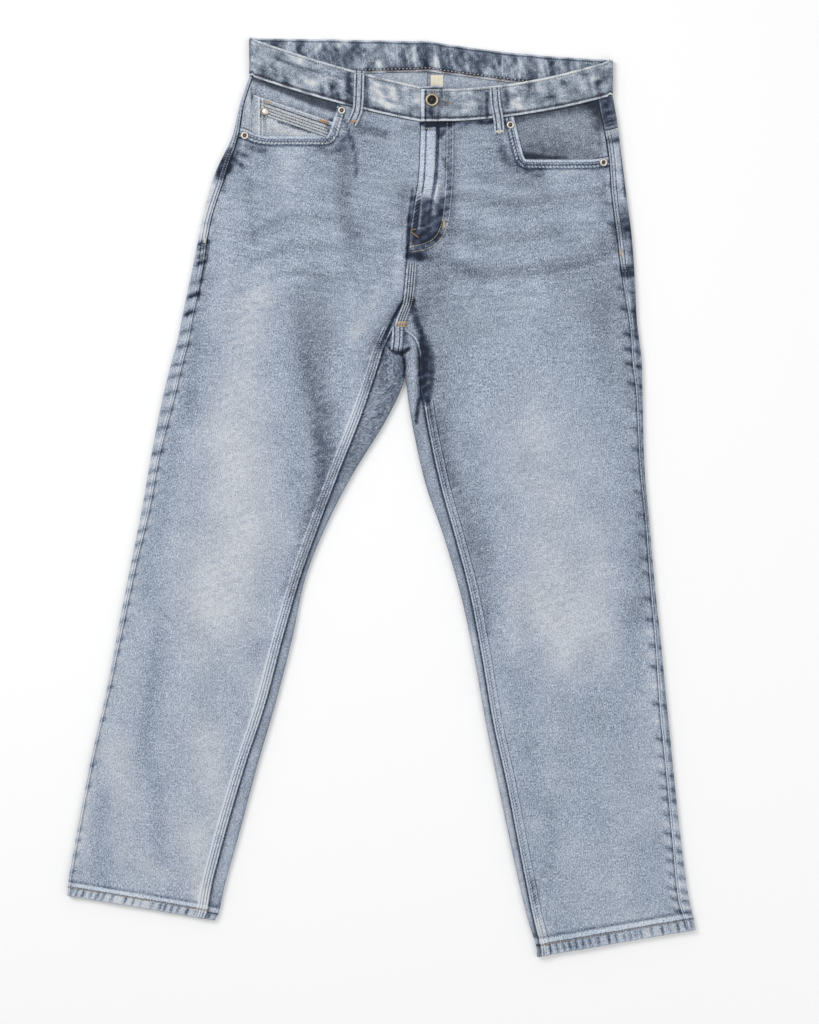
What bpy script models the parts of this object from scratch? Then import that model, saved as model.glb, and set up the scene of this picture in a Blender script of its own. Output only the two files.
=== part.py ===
"""Slim fit five-pocket jeans, laid flat with the front up.

Metres, +Z up. The surface they lie on is z = 0, the waist points to +Y and the viewer of the front
sees +X on the right. Sides are named for the wearer, so the right leg is at -X. Sizes below are in
millimetres; MM turns them into metres where a mesh is made.
"""
import math
from collections import namedtuple

import bpy
from mathutils import Vector

MM = 0.001

# ---- cloth and seams -------------------------------------------------------------------------
DENIM = 1.2           # wall of a leg panel
BAND_WALL = 2.4       # waistband, two layers and an interlining
POCKET_WALL = 1.0     # facing, coin pocket and back pockets
LOOP_WALL = 1.6       # belt loops
LABEL_WALL = 0.5
SEAM_GAP = 0.5        # between neighbours along a seam
LAY_GAP = 0.35        # between a piece and what lies on it

FOLD_RADIUS = 4.5     # sideways radius of the rolled edge of a leg
EDGE_HEIGHT = 8.0     # height of a leg at its rolled edge
WAIST_HEIGHT = 8.6    # the same at the waist seam
MID_DIP = 1.6         # the middle of a panel lies this much lower than its edges
DIP_REACH = 16.0      # how far from an edge the dip sets in
BAND_HEIGHT = 9.9     # top of the waistband above the surface
OVERLAP_RISE = 2.8    # the buttonhole end lies this much higher, on the button end
OVERLAP_LENGTH = 40.0
UNDERLAP = 26.0       # the button end runs on this far below the buttonhole end
FLY_RISE = 1.5        # the left front lies this much higher along the fly
FLY_WIDTH = 38.0

# ---- the centre of the body, shared by both legs ---------------------------------------------
# front_x, front_y: fly edge and front rise seam; back_x, back_y: centre back seam, underneath.
Centre = namedtuple("Centre", "name front_x front_y back_x back_y")
CENTRE = (
    Centre("waist", 46, 439, 54, 499),
    Centre("pocket_top", 45, 407, 53, 453),
    Centre("pocket_base", 43, 371, 51, 401),
    Centre("hip", 37, 334, 47, 348),
    Centre("fly_end", 31, 290, 43, 295),
    Centre("seat", 26, 236, 36, 237),
    Centre("fork", 20, 199, 30, 185),
    Centre("lobe", 23, 175, 28, 160),
)
FORK, LOBE, CROTCH = 6, 7, 8          # stations: where the inseam starts, and where the legs part

# ---- the legs --------------------------------------------------------------------------------
# outer_x, outer_y: the outline on the hip side. inner_x, inner_y: the outline between the legs,
# from the crotch down. outseam, inseam: how far inside the outline these seams lie on top.
# bow: how far the section line sags below a straight line.
Section = namedtuple("Section", "name outer_x outer_y inner_x inner_y outseam inseam bow")
RIGHT_LEG = (
    Section("waist", -155, 493, None, None, 3.8, 0, 4),
    Section("pocket_top", -166, 460, None, None, 4.5, 0, 3),
    Section("pocket_base", -175, 423, None, None, 7, 0, 2),
    Section("hip", -196, 377, None, None, 13, 0, 0),
    Section("fly_end", -210, 325, None, None, 10.5, 0, 0),
    Section("seat", -222, 266, None, None, 13, 0, 0),
    Section("fork", -233, 214, None, None, 13, 5, 0),
    Section("lobe", -239, 184, None, None, 13.5, 19, 0),
    Section("crotch", -246, 159, 27.2, 140, 14, 34, 0),
    Section("thigh_top", -257, 114, 5, 90, 14, 29, 0),
    Section("thigh", -269, 53, -35, 25, 10.5, 15, 0),
    Section("thigh_low", -281, -15, -67, -38, 9.5, 7, 0),
    Section("knee_top", -294, -80, -90, -97, 7, 5, 0),
    Section("knee", -307, -146, -105, -167, 6, 10, 0),
    Section("calf_top", -322, -225, -125, -244, 4, 10.5, 0),
    Section("calf", -338, -295, -146, -316, 3.5, 13, 0),
    Section("calf_low", -353, -371, -166, -391, 3.5, 15, 0),
    Section("shin", -364, -431, -183, -452, 3.5, 14, 0),
    Section("hem_top", -367, -452, -190, -484, 3.5, 13, 0),
    Section("hem", -368, -466, -195, -495, 3.5, 12, 0),
)
LEFT_LEG = (
    Section("waist", 271, 470, None, None, 17.5, 0, 8),
    Section("pocket_top", 277, 435, None, None, 16.5, 0, 6),
    Section("pocket_base", 281, 401, None, None, 15, 0, 4),
    Section("hip", 287, 354, None, None, 17.5, 0, 0),
    Section("fly_end", 293, 307, None, None, 17.5, 0, 0),
    Section("seat", 297, 254, None, None, 15, 0, 0),
    Section("fork", 299, 210, None, None, 9.5, 3, 0),
    Section("lobe", 302, 184, None, None, 10, 18, 0),
    Section("crotch", 305, 159, 28.4, 140, 11.5, 17.5, 0),
    Section("thigh_top", 306, 120, 35, 91, 8, 16.5, 0),
    Section("thigh", 308, 38, 51, 18, 6, 16, 0),
    Section("thigh_low", 314, -32, 73, -46, 5, 12, 0),
    Section("knee_top", 320, -100, 92, -111, 6, 10, 0),
    Section("knee", 327, -167, 108, -184, 7, 8, 0),
    Section("calf_top", 335, -249, 122, -263, 9.5, 7.5, 0),
    Section("calf", 342, -319, 136, -333, 9.5, 9, 0),
    Section("calf_low", 350, -395, 152, -410, 10.5, 8, 0),
    Section("shin", 359, -463, 169, -485, 13, 6, 0),
    Section("hem_top", 365.5, -493, 181, -525, 11.5, 4, 0),
    Section("hem", 368, -506, 182, -538, 10.5, 4, 0),
)
HEM = len(RIGHT_LEG) - 1

# ---- the largest folds, as soft ridges and troughs of the top --------------------------------
Fold = namedtuple("Fold", "start_x start_y end_x end_y width height")
FOLDS = (
    Fold(53, 192, 51, 118, 7, -3.2),          # the valley beside the left inseam at the crotch
    Fold(26, 186, 24, 168, 9, 2.4),           # the knuckle where the four seams meet
    Fold(55, 425, 57, 340, 7, 1.2),           # the rolled edge of the fly
    Fold(-160, 190, -225, -80, 42, 2.6),      # crown of the right thigh
    Fold(-72, 190, -112, -120, 15, -1.6),     # the trough beside it
    Fold(238, 110, 245, -180, 38, 2.6),       # crown of the left thigh
    Fold(110, 70, 128, -150, 16, -1.6),       # troughs on both sides of it
    Fold(293, 70, 302, -150, 12, -1.2),
    Fold(-230, -260, -300, -440, 30, 1.6),    # crown of the right shin
    Fold(240, -260, 275, -470, 34, 1.8),      # crown of the left shin
    Fold(-40, 440, -32, 390, 8, 1.0),         # the bend beside the right pocket
)

# ---- pockets, band and fittings --------------------------------------------------------------
# The pocket mouth is a low line and a steep side line that meet in a round corner.
Mouth = namedtuple("Mouth", "low_y end_rise side_x side_y side_slope")
RIGHT_MOUTH = Mouth(423, 9, -52, 458, 3.5)
LEFT_MOUTH = Mouth(395.5, 4, 155, 444, -4.0)
MOUTH_ROUNDING = 3.0
MOUTH_END_REACH = 16.0      # how far from the outseam the mouth turns up
FACING_CLEARANCE = 0.8      # the facing keeps this much more off the outseam
FACING_DROP = 2.7           # the facing lies this much below the front panel
COIN_RISE = POCKET_WALL + LAY_GAP
COIN_TOP_START = (-140, 469)
COIN_TOP_END = (-59, 441)

YOKE_SIDE, YOKE_CENTRE = 1.05, 1.45             # stations of the yoke seam at the side and centre
BACK_POCKET_ROWS = (1.95, 4.75)                 # stations of its mouth and its point
BACK_POCKET_COLUMNS = (0.29, 0.83)              # parts of the way from the side to the centre
BACK_POCKET_POINT = 0.3                         # how much deeper its middle is, in stations
POCKET_MARGIN = 0.012                           # the panel clears the pocket by this part
POCKET_RAMP = 0.045                             # and comes down to the surface over this one
POCKET_CLEAR = 0.06                             # the same along the leg, in stations
POCKET_TOP_RAMP, POCKET_POINT_RAMP = 0.2, 0.3   # where these ramps end, in stations
POCKET_LIFT = POCKET_WALL + LAY_GAP

RIGHT_BAND_FRONT = (44.5, 43, 41)   # height of the waistband: side, middle, centre front
RIGHT_BAND_BACK = (44.5, 40, 35)    # side, middle, centre back
LEFT_BAND_FRONT = (41.5, 38, 37.5)
LEFT_BAND_BACK = (41.5, 35, 35)
LOOP_WIDTH = 12.0
LOOP_HEIGHT = 52.0
LOOP_ARCH = 1.5
BACK_LOOP_PLACE = 0.45              # part of the way from the side to the centre back
BACK_LOOP_LIFT = LOOP_WALL + LAY_GAP

RIVET_RADIUS, RIVET_DOME = 4.7, 1.6
BUTTON_RADIUS, BUTTON_HEIGHT = 8.2, 3.6
BUTTON_PLACE = (59, 464)
LABEL_SIZE = (15.0, 17.0)
LABEL_CORNER = (57.5, 495.2)

# ---- the CAD's fineness ----------------------------------------------------------------------
SAME_POINT = 1e-3                     # points nearer than this are one point
WRAP_STEPS = 7
INNER_WRAP_STEPS = 3
INNER_UPPER_POINTS = INNER_WRAP_STEPS + 4
FRONT_COLUMNS = (0, 0.006, 0.03, 0.12, 0.25, 0.37, 0.445, 0.475, 0.5, 0.535, 0.63, 0.75, 0.86,
                 0.93, 0.97, 1)

COLOURS = {                          # base colour, roughness, metallic
    "denim_front": ((0.36, 0.42, 0.51), 0.9, 0.0),
    "denim_back": ((0.31, 0.37, 0.46), 0.9, 0.0),
    "denim_band": ((0.30, 0.35, 0.43), 0.9, 0.0),
    "facing": ((0.20, 0.25, 0.33), 0.9, 0.0),
    "copper": ((0.55, 0.36, 0.24), 0.4, 0.9),
    "old_brass": ((0.30, 0.24, 0.17), 0.4, 0.9),
    "label": ((0.62, 0.58, 0.44), 0.8, 0.0),
}


# ---- curves and forms ------------------------------------------------------------------------
def smooth(values, station):
    """A smooth curve through evenly numbered values, read at any station."""
    first = max(0, min(int(station), len(values) - 2))
    part = station - first
    here, there = values[first], values[first + 1]
    before = values[first - 1] if first else 2 * here - there
    after = values[first + 2] if first + 2 < len(values) else 2 * there - here
    bend = 2 * before - 5 * here + 4 * there - after
    twist = 3 * here - before - 3 * there + after
    return here + 0.5 * part * (there - before + part * (bend + part * twist))


def step(value, start, end):
    """0 before start, 1 after end, and a soft step between them."""
    part = min(1.0, max(0.0, (value - start) / (end - start)))
    return part * part * (3 - 2 * part)


def mix(first, second, part):
    return first + (second - first) * part


def rolled(distance):
    """The quarter round of a rolled edge: 0 at its outermost point, 1 past its radius."""
    if distance >= FOLD_RADIUS:
        return 1.0
    return math.sqrt(max(0.0, 1 - (1 - distance / FOLD_RADIUS) ** 2))


def fold_height(x, y):
    """Height that the large folds add at a place."""
    total = 0.0
    for fold in FOLDS:
        run_x, run_y = fold.end_x - fold.start_x, fold.end_y - fold.start_y
        length = math.hypot(run_x, run_y)
        along = ((x - fold.start_x) * run_x + (y - fold.start_y) * run_y) / length
        across = ((x - fold.start_x) * run_y - (y - fold.start_y) * run_x) / length
        past = max(0.0, -along, along - length)
        total += fold.height * math.exp(-(across ** 2 + past ** 2) / fold.width ** 2)
    return total


class Leg:
    """One leg and its half of the body: a flattened tube through the sections above."""

    def __init__(self, side, rows, mouth, band_front, band_back):
        self.side = side                        # -1 at -X, +1 at +X
        self.mouth = mouth
        self.band_front, self.band_back = band_front, band_back
        half_gap = side * SEAM_GAP / 2
        self.outer_points = [Vector((row.outer_x, row.outer_y)) for row in rows]
        self.inner_points = [Vector((row.inner_x, row.inner_y)) for row in rows[CROTCH:]]
        self.back_points = list(self.inner_points)
        for row in reversed(CENTRE):
            self.inner_points.insert(0, Vector((row.front_x + half_gap, row.front_y)))
            self.back_points.insert(0, Vector((row.back_x + half_gap, row.back_y)))
        self.outseams = [row.outseam for row in rows]
        self.inseams = [row.inseam for row in rows]
        self.bows = [row.bow for row in rows]

    def edge_height(self, station):
        return mix(WAIST_HEIGHT, EDGE_HEIGHT, step(station, 0, 2))

    def width(self, station):
        return (smooth(self.inner_points, station) - smooth(self.outer_points, station)).length

    def top(self, station, distance, drop=0.0):
        """The upper face, distance inwards from the outline on the hip side."""
        outer = smooth(self.outer_points, station)
        chord = smooth(self.inner_points, station) - outer
        part = distance / chord.length
        place = outer + chord * part
        place.y -= smooth(self.bows, station) * 4 * part * (1 - part)
        left = chord.length - distance
        height = self.edge_height(station)
        inner_roll = step(station, FORK - 0.5, LOBE) * (1 - rolled(left))
        level = height * (1 - 0.5 * (1 - rolled(distance)) - 0.5 * inner_roll)
        soft = (1 - math.exp(-(distance / DIP_REACH) ** 2)) * (1 - math.exp(-(left / DIP_REACH) ** 2))
        level -= MID_DIP * soft
        level += fold_height(place.x, place.y) * rolled(distance) * rolled(left)
        if self.side > 0 and station < FORK:
            level += FLY_RISE * (1 - step(left, FLY_WIDTH - 12, FLY_WIDTH)) * (1 - step(station, 4, 5.5))
        return Vector((place.x, place.y, level - drop))

    def under(self, station, distance, from_outer=True, lift=0.0):
        """The lower face, distance in from the outer edge, or from the inner one."""
        outer = smooth(self.outer_points, station)
        inner = smooth(self.back_points, station)
        chord = (inner - outer).normalized()
        place = outer + chord * distance if from_outer else inner - chord * distance
        turn = 1.0 if from_outer else step(station, LOBE, CROTCH)
        level = self.edge_height(station) * 0.5 * (1 - rolled(distance)) * turn
        return Vector((place.x, place.y, level + lift))

    def under_width(self, station):
        return (smooth(self.back_points, station) - smooth(self.outer_points, station)).length

    def front_point(self, station, part, drop=0.0):
        """The front panel, from the outseam (0) to the inseam or the centre front (1)."""
        start = smooth(self.outseams, station) + SEAM_GAP / 2
        end = self.width(station) - smooth(self.inseams, station)
        end -= SEAM_GAP / 2 if station > FORK - 1 else 0
        return self.top(station, mix(start, end, part), drop)

    def outer_wrap(self, station, steps):
        """From the outseam, out over the rolled edge, to where the cloth meets the surface."""
        seam = smooth(self.outseams, station) - SEAM_GAP / 2
        start = math.acos(1 - min(seam, FOLD_RADIUS) / FOLD_RADIUS)
        flat = max(0.0, seam - FOLD_RADIUS)
        total = flat + (start + math.pi / 2) * FOLD_RADIUS
        places = [0.0, 1.0] + [1.0 + (total - 1.0) * k / (steps - 1) for k in range(1, steps)]
        points = []
        for place in places:
            if place < flat:
                points.append(self.top(station, seam - place))
                continue
            angle = start - (place - flat) / FOLD_RADIUS
            distance = FOLD_RADIUS * (1 - math.cos(angle))
            if angle > 0:
                points.append(self.top(station, distance))
            else:
                points.append(self.under(station, distance))
        return points

    def inner_wrap(self, station, steps):
        """From the surface up over the edge between the legs, and on to the inseam."""
        seam = smooth(self.inseams, station) - SEAM_GAP / 2
        width = self.width(station)
        lower = []
        for k in range(steps + 1):
            angle = math.pi / 2 * (1 - k / steps)
            distance = FOLD_RADIUS * (1 - math.cos(angle))
            lower.append(self.under(station, distance, from_outer=False))
        upper = []
        if station >= FORK:
            near_seam = max(seam - 1.0, 0.6 * seam)
            round_end = min(FOLD_RADIUS, 0.5 * seam)
            places = [round_end * (1 - math.cos(math.pi / 2 * k / steps)) for k in range(steps + 1)]
            places += [mix(round_end, near_seam, 0.5), near_seam, seam]
            upper = [self.top(station, width - place) for place in places]
        return lower, upper

    def mouth_height(self, x):
        """How far up the pocket mouth is at a place across the panel."""
        mouth = self.mouth
        from_seam = abs(x - smooth(self.outer_points, 1.8).x) - 8.0
        low = mouth.low_y + mouth.end_rise * math.exp(-(max(0.0, from_seam) / MOUTH_END_REACH) ** 2)
        steep = mouth.side_y + mouth.side_slope * (x - mouth.side_x)
        difference = min(40.0, (steep - low) / MOUTH_ROUNDING)
        return low + MOUTH_ROUNDING * math.log1p(math.exp(difference))

    def mouth_station(self, part):
        """The station where the pocket mouth crosses the line at this part of the panel."""
        low, high = 0.0, 3.0
        start = self.front_point(low, part)
        if start.y <= self.mouth_height(start.x):
            return 0.0
        for _ in range(30):
            middle = (low + high) / 2
            point = self.front_point(middle, part)
            if point.y > self.mouth_height(point.x):
                low = middle
            else:
                high = middle
        return (low + high) / 2

    def yoke_station(self, part):
        return mix(YOKE_SIDE, YOKE_CENTRE, part)


RIGHT = Leg(-1, RIGHT_LEG, RIGHT_MOUTH, RIGHT_BAND_FRONT, RIGHT_BAND_BACK)
LEFT = Leg(1, LEFT_LEG, LEFT_MOUTH, LEFT_BAND_FRONT, LEFT_BAND_BACK)
LEGS = {"right": RIGHT, "left": LEFT}


# ---- making objects --------------------------------------------------------------------------
def collection_for(name):
    collection = bpy.data.collections.new(name)
    bpy.context.scene.collection.children.link(collection)
    return collection


def material(name):
    found = bpy.data.materials.get(name)
    if found:
        return found
    colour, roughness, metallic = COLOURS[name]
    made = bpy.data.materials.new(name)
    made.use_nodes = True
    shader = made.node_tree.nodes["Principled BSDF"]
    shader.inputs["Base Color"].default_value = (*colour, 1)
    shader.inputs["Roughness"].default_value = roughness
    shader.inputs["Metallic"].default_value = metallic
    return made


def cloth(name, grid, wall, flip, finish, joined=()):
    """A wall of cloth: rows of points on its outer face, thickened inwards.

    A point may be None where the cloth has no such corner. joined lists pairs of columns that are
    one line wherever both have the same point.
    """
    vertices, faces, index = [], [], {}
    for r, row in enumerate(grid):
        for c, point in enumerate(row):
            if point is None:
                continue
            partner = next((a for a, b in joined if b == c), None)
            if partner is not None and row[partner] and (row[partner] - point).length < SAME_POINT:
                index[r, c] = index[r, partner]
                continue
            index[r, c] = len(vertices)
            vertices.append(point * MM)
    seams = {a for a, b in joined}
    for r in range(len(grid) - 1):
        for c in range(len(grid[r]) - 1):
            corners = ((r, c), (r, c + 1), (r + 1, c + 1), (r + 1, c))
            if c in seams or any(corner not in index for corner in corners):
                continue
            face = [index[corner] for corner in corners]
            faces.append(face[::-1] if flip else face)
    mesh = bpy.data.meshes.new(name)
    mesh.from_pydata(vertices, [], faces)
    mesh.validate()
    mesh.shade_smooth()
    mesh.materials.append(material(finish))
    piece = bpy.data.objects.new(name, mesh)
    JEANS.objects.link(piece)
    solidify = piece.modifiers.new("wall", "SOLIDIFY")
    solidify.thickness = wall * MM
    solidify.offset = -1
    solidify.use_even_offset = True
    return piece


def turned(name, profile, centre, sides, finish):
    """A small round fitting: a profile of (radius, height) turned about a vertical axis."""
    mesh = bpy.data.meshes.new(name)
    points = [(radius * MM, 0, height * MM) for radius, height in profile]
    mesh.from_pydata(points, [(k, k + 1) for k in range(len(points) - 1)], [])
    mesh.materials.append(material(finish))
    piece = bpy.data.objects.new(name, mesh)
    piece.location = centre * MM
    JEANS.objects.link(piece)
    screw = piece.modifiers.new("turn", "SCREW")
    screw.steps = screw.render_steps = sides
    screw.use_merge_vertices = True
    screw.merge_threshold = 0.00001
    screw.use_smooth_shade = True
    return piece


# ---- the pieces ------------------------------------------------------------------------------
def front_panel(side, leg):
    """From the waist seam, round the pocket mouth, to the hem."""
    starts = [leg.mouth_station(part) for part in FRONT_COLUMNS]
    grid = []
    for k in range(4):
        grid.append([leg.front_point(mix(start, 3, k / 4), part)
                     for start, part in zip(starts, FRONT_COLUMNS)])
    for station in range(3, HEM + 1):
        grid.append([leg.front_point(station, part) for part in FRONT_COLUMNS])
    cloth("front_" + side, grid, DENIM, leg.side < 0, "denim_front")


def facing_point(leg, station, part, drop):
    """As front_point, a little further clear of the outseam, where the edge is steep."""
    clear = FACING_CLEARANCE * (1 - part)
    return leg.front_point(station, part + clear / leg.width(station), drop)


def facing_drop(leg, part):
    """How far the facing lies below the front panel: hardly at the outseam."""
    from_seam = part * leg.width(1)
    return mix(0.2, FACING_DROP, step(from_seam, 2, 16))


def facing_and_coin_pocket(side, leg):
    """The cloth that shows in the pocket mouth, and the coin pocket that lies on the right one."""
    columns = [part for part in FRONT_COLUMNS if leg.mouth_station(part) > 0.12]
    facing, coin = [], []
    for part in columns:
        end = leg.mouth_station(part) - 0.02
        start = leg.front_point(0, part)
        slope = (COIN_TOP_END[1] - COIN_TOP_START[1]) / (COIN_TOP_END[0] - COIN_TOP_START[0])
        coin_y = COIN_TOP_START[1] + slope * (start.x - COIN_TOP_START[0])
        whole = start.y - leg.front_point(end, part).y
        coin_start = end * min(0.9, max(0.12, (start.y - coin_y) / whole))
        stations = (0, coin_start, mix(coin_start, end, 0.5), end)
        drop = facing_drop(leg, part)
        facing.append([facing_point(leg, station, part, drop) for station in stations])
        if side == "right" and COIN_TOP_START[0] - 4 < start.x:
            coin.append([point + Vector((0, 0, COIN_RISE)) for point in facing[-1][1:]])
    cloth("facing_" + side, facing, POCKET_WALL, leg.side > 0, "facing")
    if coin:
        cloth("coin_pocket", coin, POCKET_WALL, leg.side > 0, "denim_front")


def pocket_reach(part, station):
    """1 over the back pocket, 0 away from it, and a ramp between."""
    near, far = POCKET_MARGIN, POCKET_MARGIN + POCKET_RAMP
    first, last = BACK_POCKET_COLUMNS
    across = min(step(part, first - far, first - near), step(-part, -last - far, -last - near))
    top, point = BACK_POCKET_ROWS
    along = min(step(station, top - POCKET_TOP_RAMP, top - POCKET_CLEAR),
                step(-station, -point - POCKET_POINT_RAMP, -point - POCKET_CLEAR))
    return across * along


def under_point(leg, station, part):
    """The back panel's outer face, from where it leaves the side fold (0) to the centre (1)."""
    start = FOLD_RADIUS
    end = leg.under_width(station) - FOLD_RADIUS * step(station, LOBE, CROTCH)
    distance = mix(start, end, part)
    return leg.under(station, distance, lift=POCKET_LIFT * pocket_reach(part, station))


def under_columns():
    """Parts of the way across the underside, with a stop on each side of the pocket's ramps."""
    first, last = BACK_POCKET_COLUMNS
    near, far = POCKET_MARGIN, POCKET_MARGIN + POCKET_RAMP
    return [0, 0.12, first - far, first - near, (first + last) / 2, last + near, last + far, 1]


def back_row(leg, stations, columns):
    """One row of the back panel: side wrap, underside, and the wrap between the legs."""
    side_station, centre_station = stations[0], stations[-1]
    wrap = leg.outer_wrap(side_station, WRAP_STEPS)
    under = [under_point(leg, station, part) for station, part in zip(stations, columns)][1:-1]
    lower, upper = leg.inner_wrap(centre_station, INNER_WRAP_STEPS)
    upper = upper or [None] * INNER_UPPER_POINTS
    return wrap + under + lower, upper


def back_panel(side, leg):
    """From the yoke seam to the hem, round both edges of the leg."""
    columns = under_columns()
    top, point = BACK_POCKET_ROWS
    stations = [top - POCKET_TOP_RAMP, top - POCKET_CLEAR, 3, 4, point + POCKET_CLEAR,
                point + POCKET_POINT_RAMP]
    stations += range(FORK, HEM + 1)
    rows = [[leg.yoke_station(part) + 0.03 for part in columns]]
    rows += [[station] * len(columns) for station in stations]
    grid = []
    for row in rows:
        lower, upper = back_row(leg, row, columns)
        grid.append(lower + upper)
        seam = len(lower) - 1
    cloth("back_" + side, grid, DENIM, leg.side > 0, "denim_back", joined=((seam, seam + 1),))


def yoke(side, leg):
    columns = under_columns()
    grid = []
    for k in range(3):
        row = [mix(0, leg.yoke_station(part), k / 2) for part in columns]
        lower, _ = back_row(leg, row, columns)
        grid.append(lower)
    cloth("yoke_" + side, grid, DENIM, leg.side > 0, "denim_back")


def back_pocket(side, leg):
    """A plain patch pocket on the underside, its lower edge drawn down to a point."""
    first, last = BACK_POCKET_COLUMNS
    top, point = BACK_POCKET_ROWS
    grid = []
    for part in (first, (first + last) / 2, last):
        towards_middle = 1 - abs(2 * part - first - last) / (last - first)
        bottom = point - BACK_POCKET_POINT * (1 - towards_middle)
        grid.append([])
        for k in range(4):
            station = mix(top, bottom, k / 3)
            distance = mix(FOLD_RADIUS, leg.under_width(station), part)
            grid[-1].append(leg.under(station, distance))
    cloth("back_pocket_" + side, grid, POCKET_WALL, leg.side < 0, "denim_back")


def band_rise(places, part):
    return smooth(places, part * (len(places) - 1))


def band_front(leg, parts):
    """Outer face of the front waistband, lower and upper edge, from the side to the centre."""
    rows = []
    width = leg.width(0)
    for part in parts:
        seam = leg.top(0, mix(FOLD_RADIUS, width, part))
        height = BAND_HEIGHT
        if leg.side > 0:
            height += OVERLAP_RISE * (1 - step(width * (1 - part), OVERLAP_LENGTH - 10, OVERLAP_LENGTH))
        lower = Vector((seam.x, seam.y + SEAM_GAP, height))
        rise = band_rise(leg.band_front, part)
        rows.append((lower, lower + Vector((0, rise / 2, 0.4)), lower + Vector((0, rise, 0))))
    return rows


def band_fold(leg, steps):
    """Round the side of the waist, from the underside up to the front."""
    rows = []
    for k in range(steps + 1):
        angle = math.pi * (k / steps - 0.5)
        out = FOLD_RADIUS * (1 - math.cos(angle))
        place = leg.under(0, out)
        height = BAND_HEIGHT / 2 * (1 + math.sin(angle))
        lower = Vector((place.x, place.y + SEAM_GAP, height))
        rise = mix(leg.band_back[0], leg.band_front[0], k / steps)
        rows.append((lower, lower + Vector((0, rise / 2, 0)), lower + Vector((0, rise, 0))))
    return rows


def loop_lift(leg, part):
    """The back waistband clears the belt loops that it lies on."""
    width = leg.under_width(0)
    lift = 0.0
    for place in (BACK_LOOP_PLACE, 1.0):
        away = abs(part - place) * width
        lift = max(lift, BACK_LOOP_LIFT * (1 - step(away, LOOP_WIDTH / 2 + 1, LOOP_WIDTH / 2 + 8)))
    return lift


def band_back(leg, parts):
    """Outer face of the back waistband, from the side to the centre back."""
    rows = []
    for part in parts:
        distance = mix(FOLD_RADIUS, leg.under_width(0), part)
        lower = leg.under(0, distance, lift=loop_lift(leg, part)) + Vector((0, SEAM_GAP, 0))
        rise = band_rise(leg.band_back, part)
        rows.append((lower, lower + Vector((0, rise / 2, 0)), lower + Vector((0, rise, 0))))
    return rows


def back_parts(leg):
    """Parts of the way round the back, with a stop on each side of the belt loops' bumps."""
    width = leg.under_width(0)
    near, far = (LOOP_WIDTH / 2 + 1) / width, (LOOP_WIDTH / 2 + 8) / width
    place = BACK_LOOP_PLACE
    return [0.12, 0.28, place - far, place - near, place + near, place + far, 0.72, 1 - far, 1 - near, 1]


def waistband():
    """One strip from the button end, round the back, to the buttonhole end on top."""
    front_parts = [1, 0.93, 0.84, 0.72, 0.6, 0.48, 0.36, 0.24, 0.12, 0.05]
    end = band_front(RIGHT, [1])[0]
    slope = Vector((1, 0.06, 0)) * UNDERLAP
    rows = [tuple(point + slope * part for point in end) for part in (1, 0.5)]
    rows += band_front(RIGHT, front_parts)
    rows += band_fold(RIGHT, 6)[::-1]
    rows += band_back(RIGHT, back_parts(RIGHT))
    rows += band_back(LEFT, back_parts(LEFT))[::-1][1:]
    rows += band_fold(LEFT, 6)
    left_parts = [0.05, 0.14, 0.26, 0.38, 0.5, 0.62, 0.72, 0.8, 0.83, 0.87, 0.93, 1]
    rows += band_front(LEFT, left_parts)
    cloth("waistband", rows, BAND_WALL, False, "denim_band")
    return rows


def front_loop(side, leg, part, lean):
    """A belt loop over the front waistband; its foot is sewn to the panel below."""
    width = leg.width(0)
    lower, _, upper = band_front(leg, [part])[0]
    direction = Vector((lean, -1, 0)).normalized()
    across = Vector((1, lean, 0)).normalized() * LOOP_WIDTH / 2
    band_rise_here = upper.y - lower.y
    foot = LOOP_HEIGHT - band_rise_here
    panel = leg.top(0.3, mix(FOLD_RADIUS, width, part)).z
    clearance = LAY_GAP + LOOP_WALL
    profile = (
        (0.5, lower.z + clearance + 0.3),
        (band_rise_here * 0.3, lower.z + clearance + LOOP_ARCH),
        (band_rise_here * 0.75, lower.z + clearance + LOOP_ARCH),
        (band_rise_here + 1.5, lower.z + clearance + 0.3),
        (band_rise_here + 5, panel + clearance + 0.6),
        (band_rise_here + foot, panel + clearance + 0.6),
    )
    grid = []
    for along, height in profile:
        place = upper + direction * along
        grid.append([Vector((place.x, place.y, height)) + across * k for k in (-1, 1)])
    cloth("belt_loop_front_" + side, grid, LOOP_WALL, True, "denim_band")


def back_loop(name, leg, part):
    """A belt loop under the back waistband, flush with the surface."""
    lower = leg.under(0, mix(FOLD_RADIUS, leg.under_width(0), part)) + Vector((0, SEAM_GAP, 0))
    rise = band_rise(leg.band_back, part)
    lower.z = 0
    across = Vector((LOOP_WIDTH / 2, 0, 0))
    grid = [[lower + Vector((0, rise * k, 0)) + across * j for j in (-1, 1)] for k in (0.02, 0.5, 0.98)]
    cloth("belt_loop_back_" + name, grid, LOOP_WALL, True, "denim_band")


def panel_height(leg, x, y):
    """Height of the front panel at a place, found by walking along the leg."""
    low, high = 0.0, float(HEM)
    for _ in range(30):
        station = (low + high) / 2
        outer = smooth(leg.outer_points, station)
        chord = smooth(leg.inner_points, station) - outer
        place = Vector((x, y)) - outer
        part = place.dot(chord) / chord.length_squared
        line_y = outer.y + chord.y * part - smooth(leg.bows, station) * 4 * part * (1 - part)
        if line_y > y:
            low = station
        else:
            high = station
    return leg.top(station, part * chord.length).z


def rivet(name, leg, x, y, drop=0.0):
    """A domed rivet head, just clear of the highest cloth under it."""
    around = [(RIVET_RADIUS * math.cos(k * math.pi / 4), RIVET_RADIUS * math.sin(k * math.pi / 4))
              for k in range(8)]
    highest = max(panel_height(leg, x + dx, y + dy) for dx, dy in around + [(0, 0)])
    base = highest - drop + LAY_GAP
    profile = ((0, RIVET_DOME), (RIVET_RADIUS * 0.45, RIVET_DOME),
               (RIVET_RADIUS * 0.85, RIVET_DOME * 0.7), (RIVET_RADIUS, 0.3), (RIVET_RADIUS, 0), (0, 0))
    turned(name, profile, Vector((x, y, base)), 16, "copper")


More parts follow.
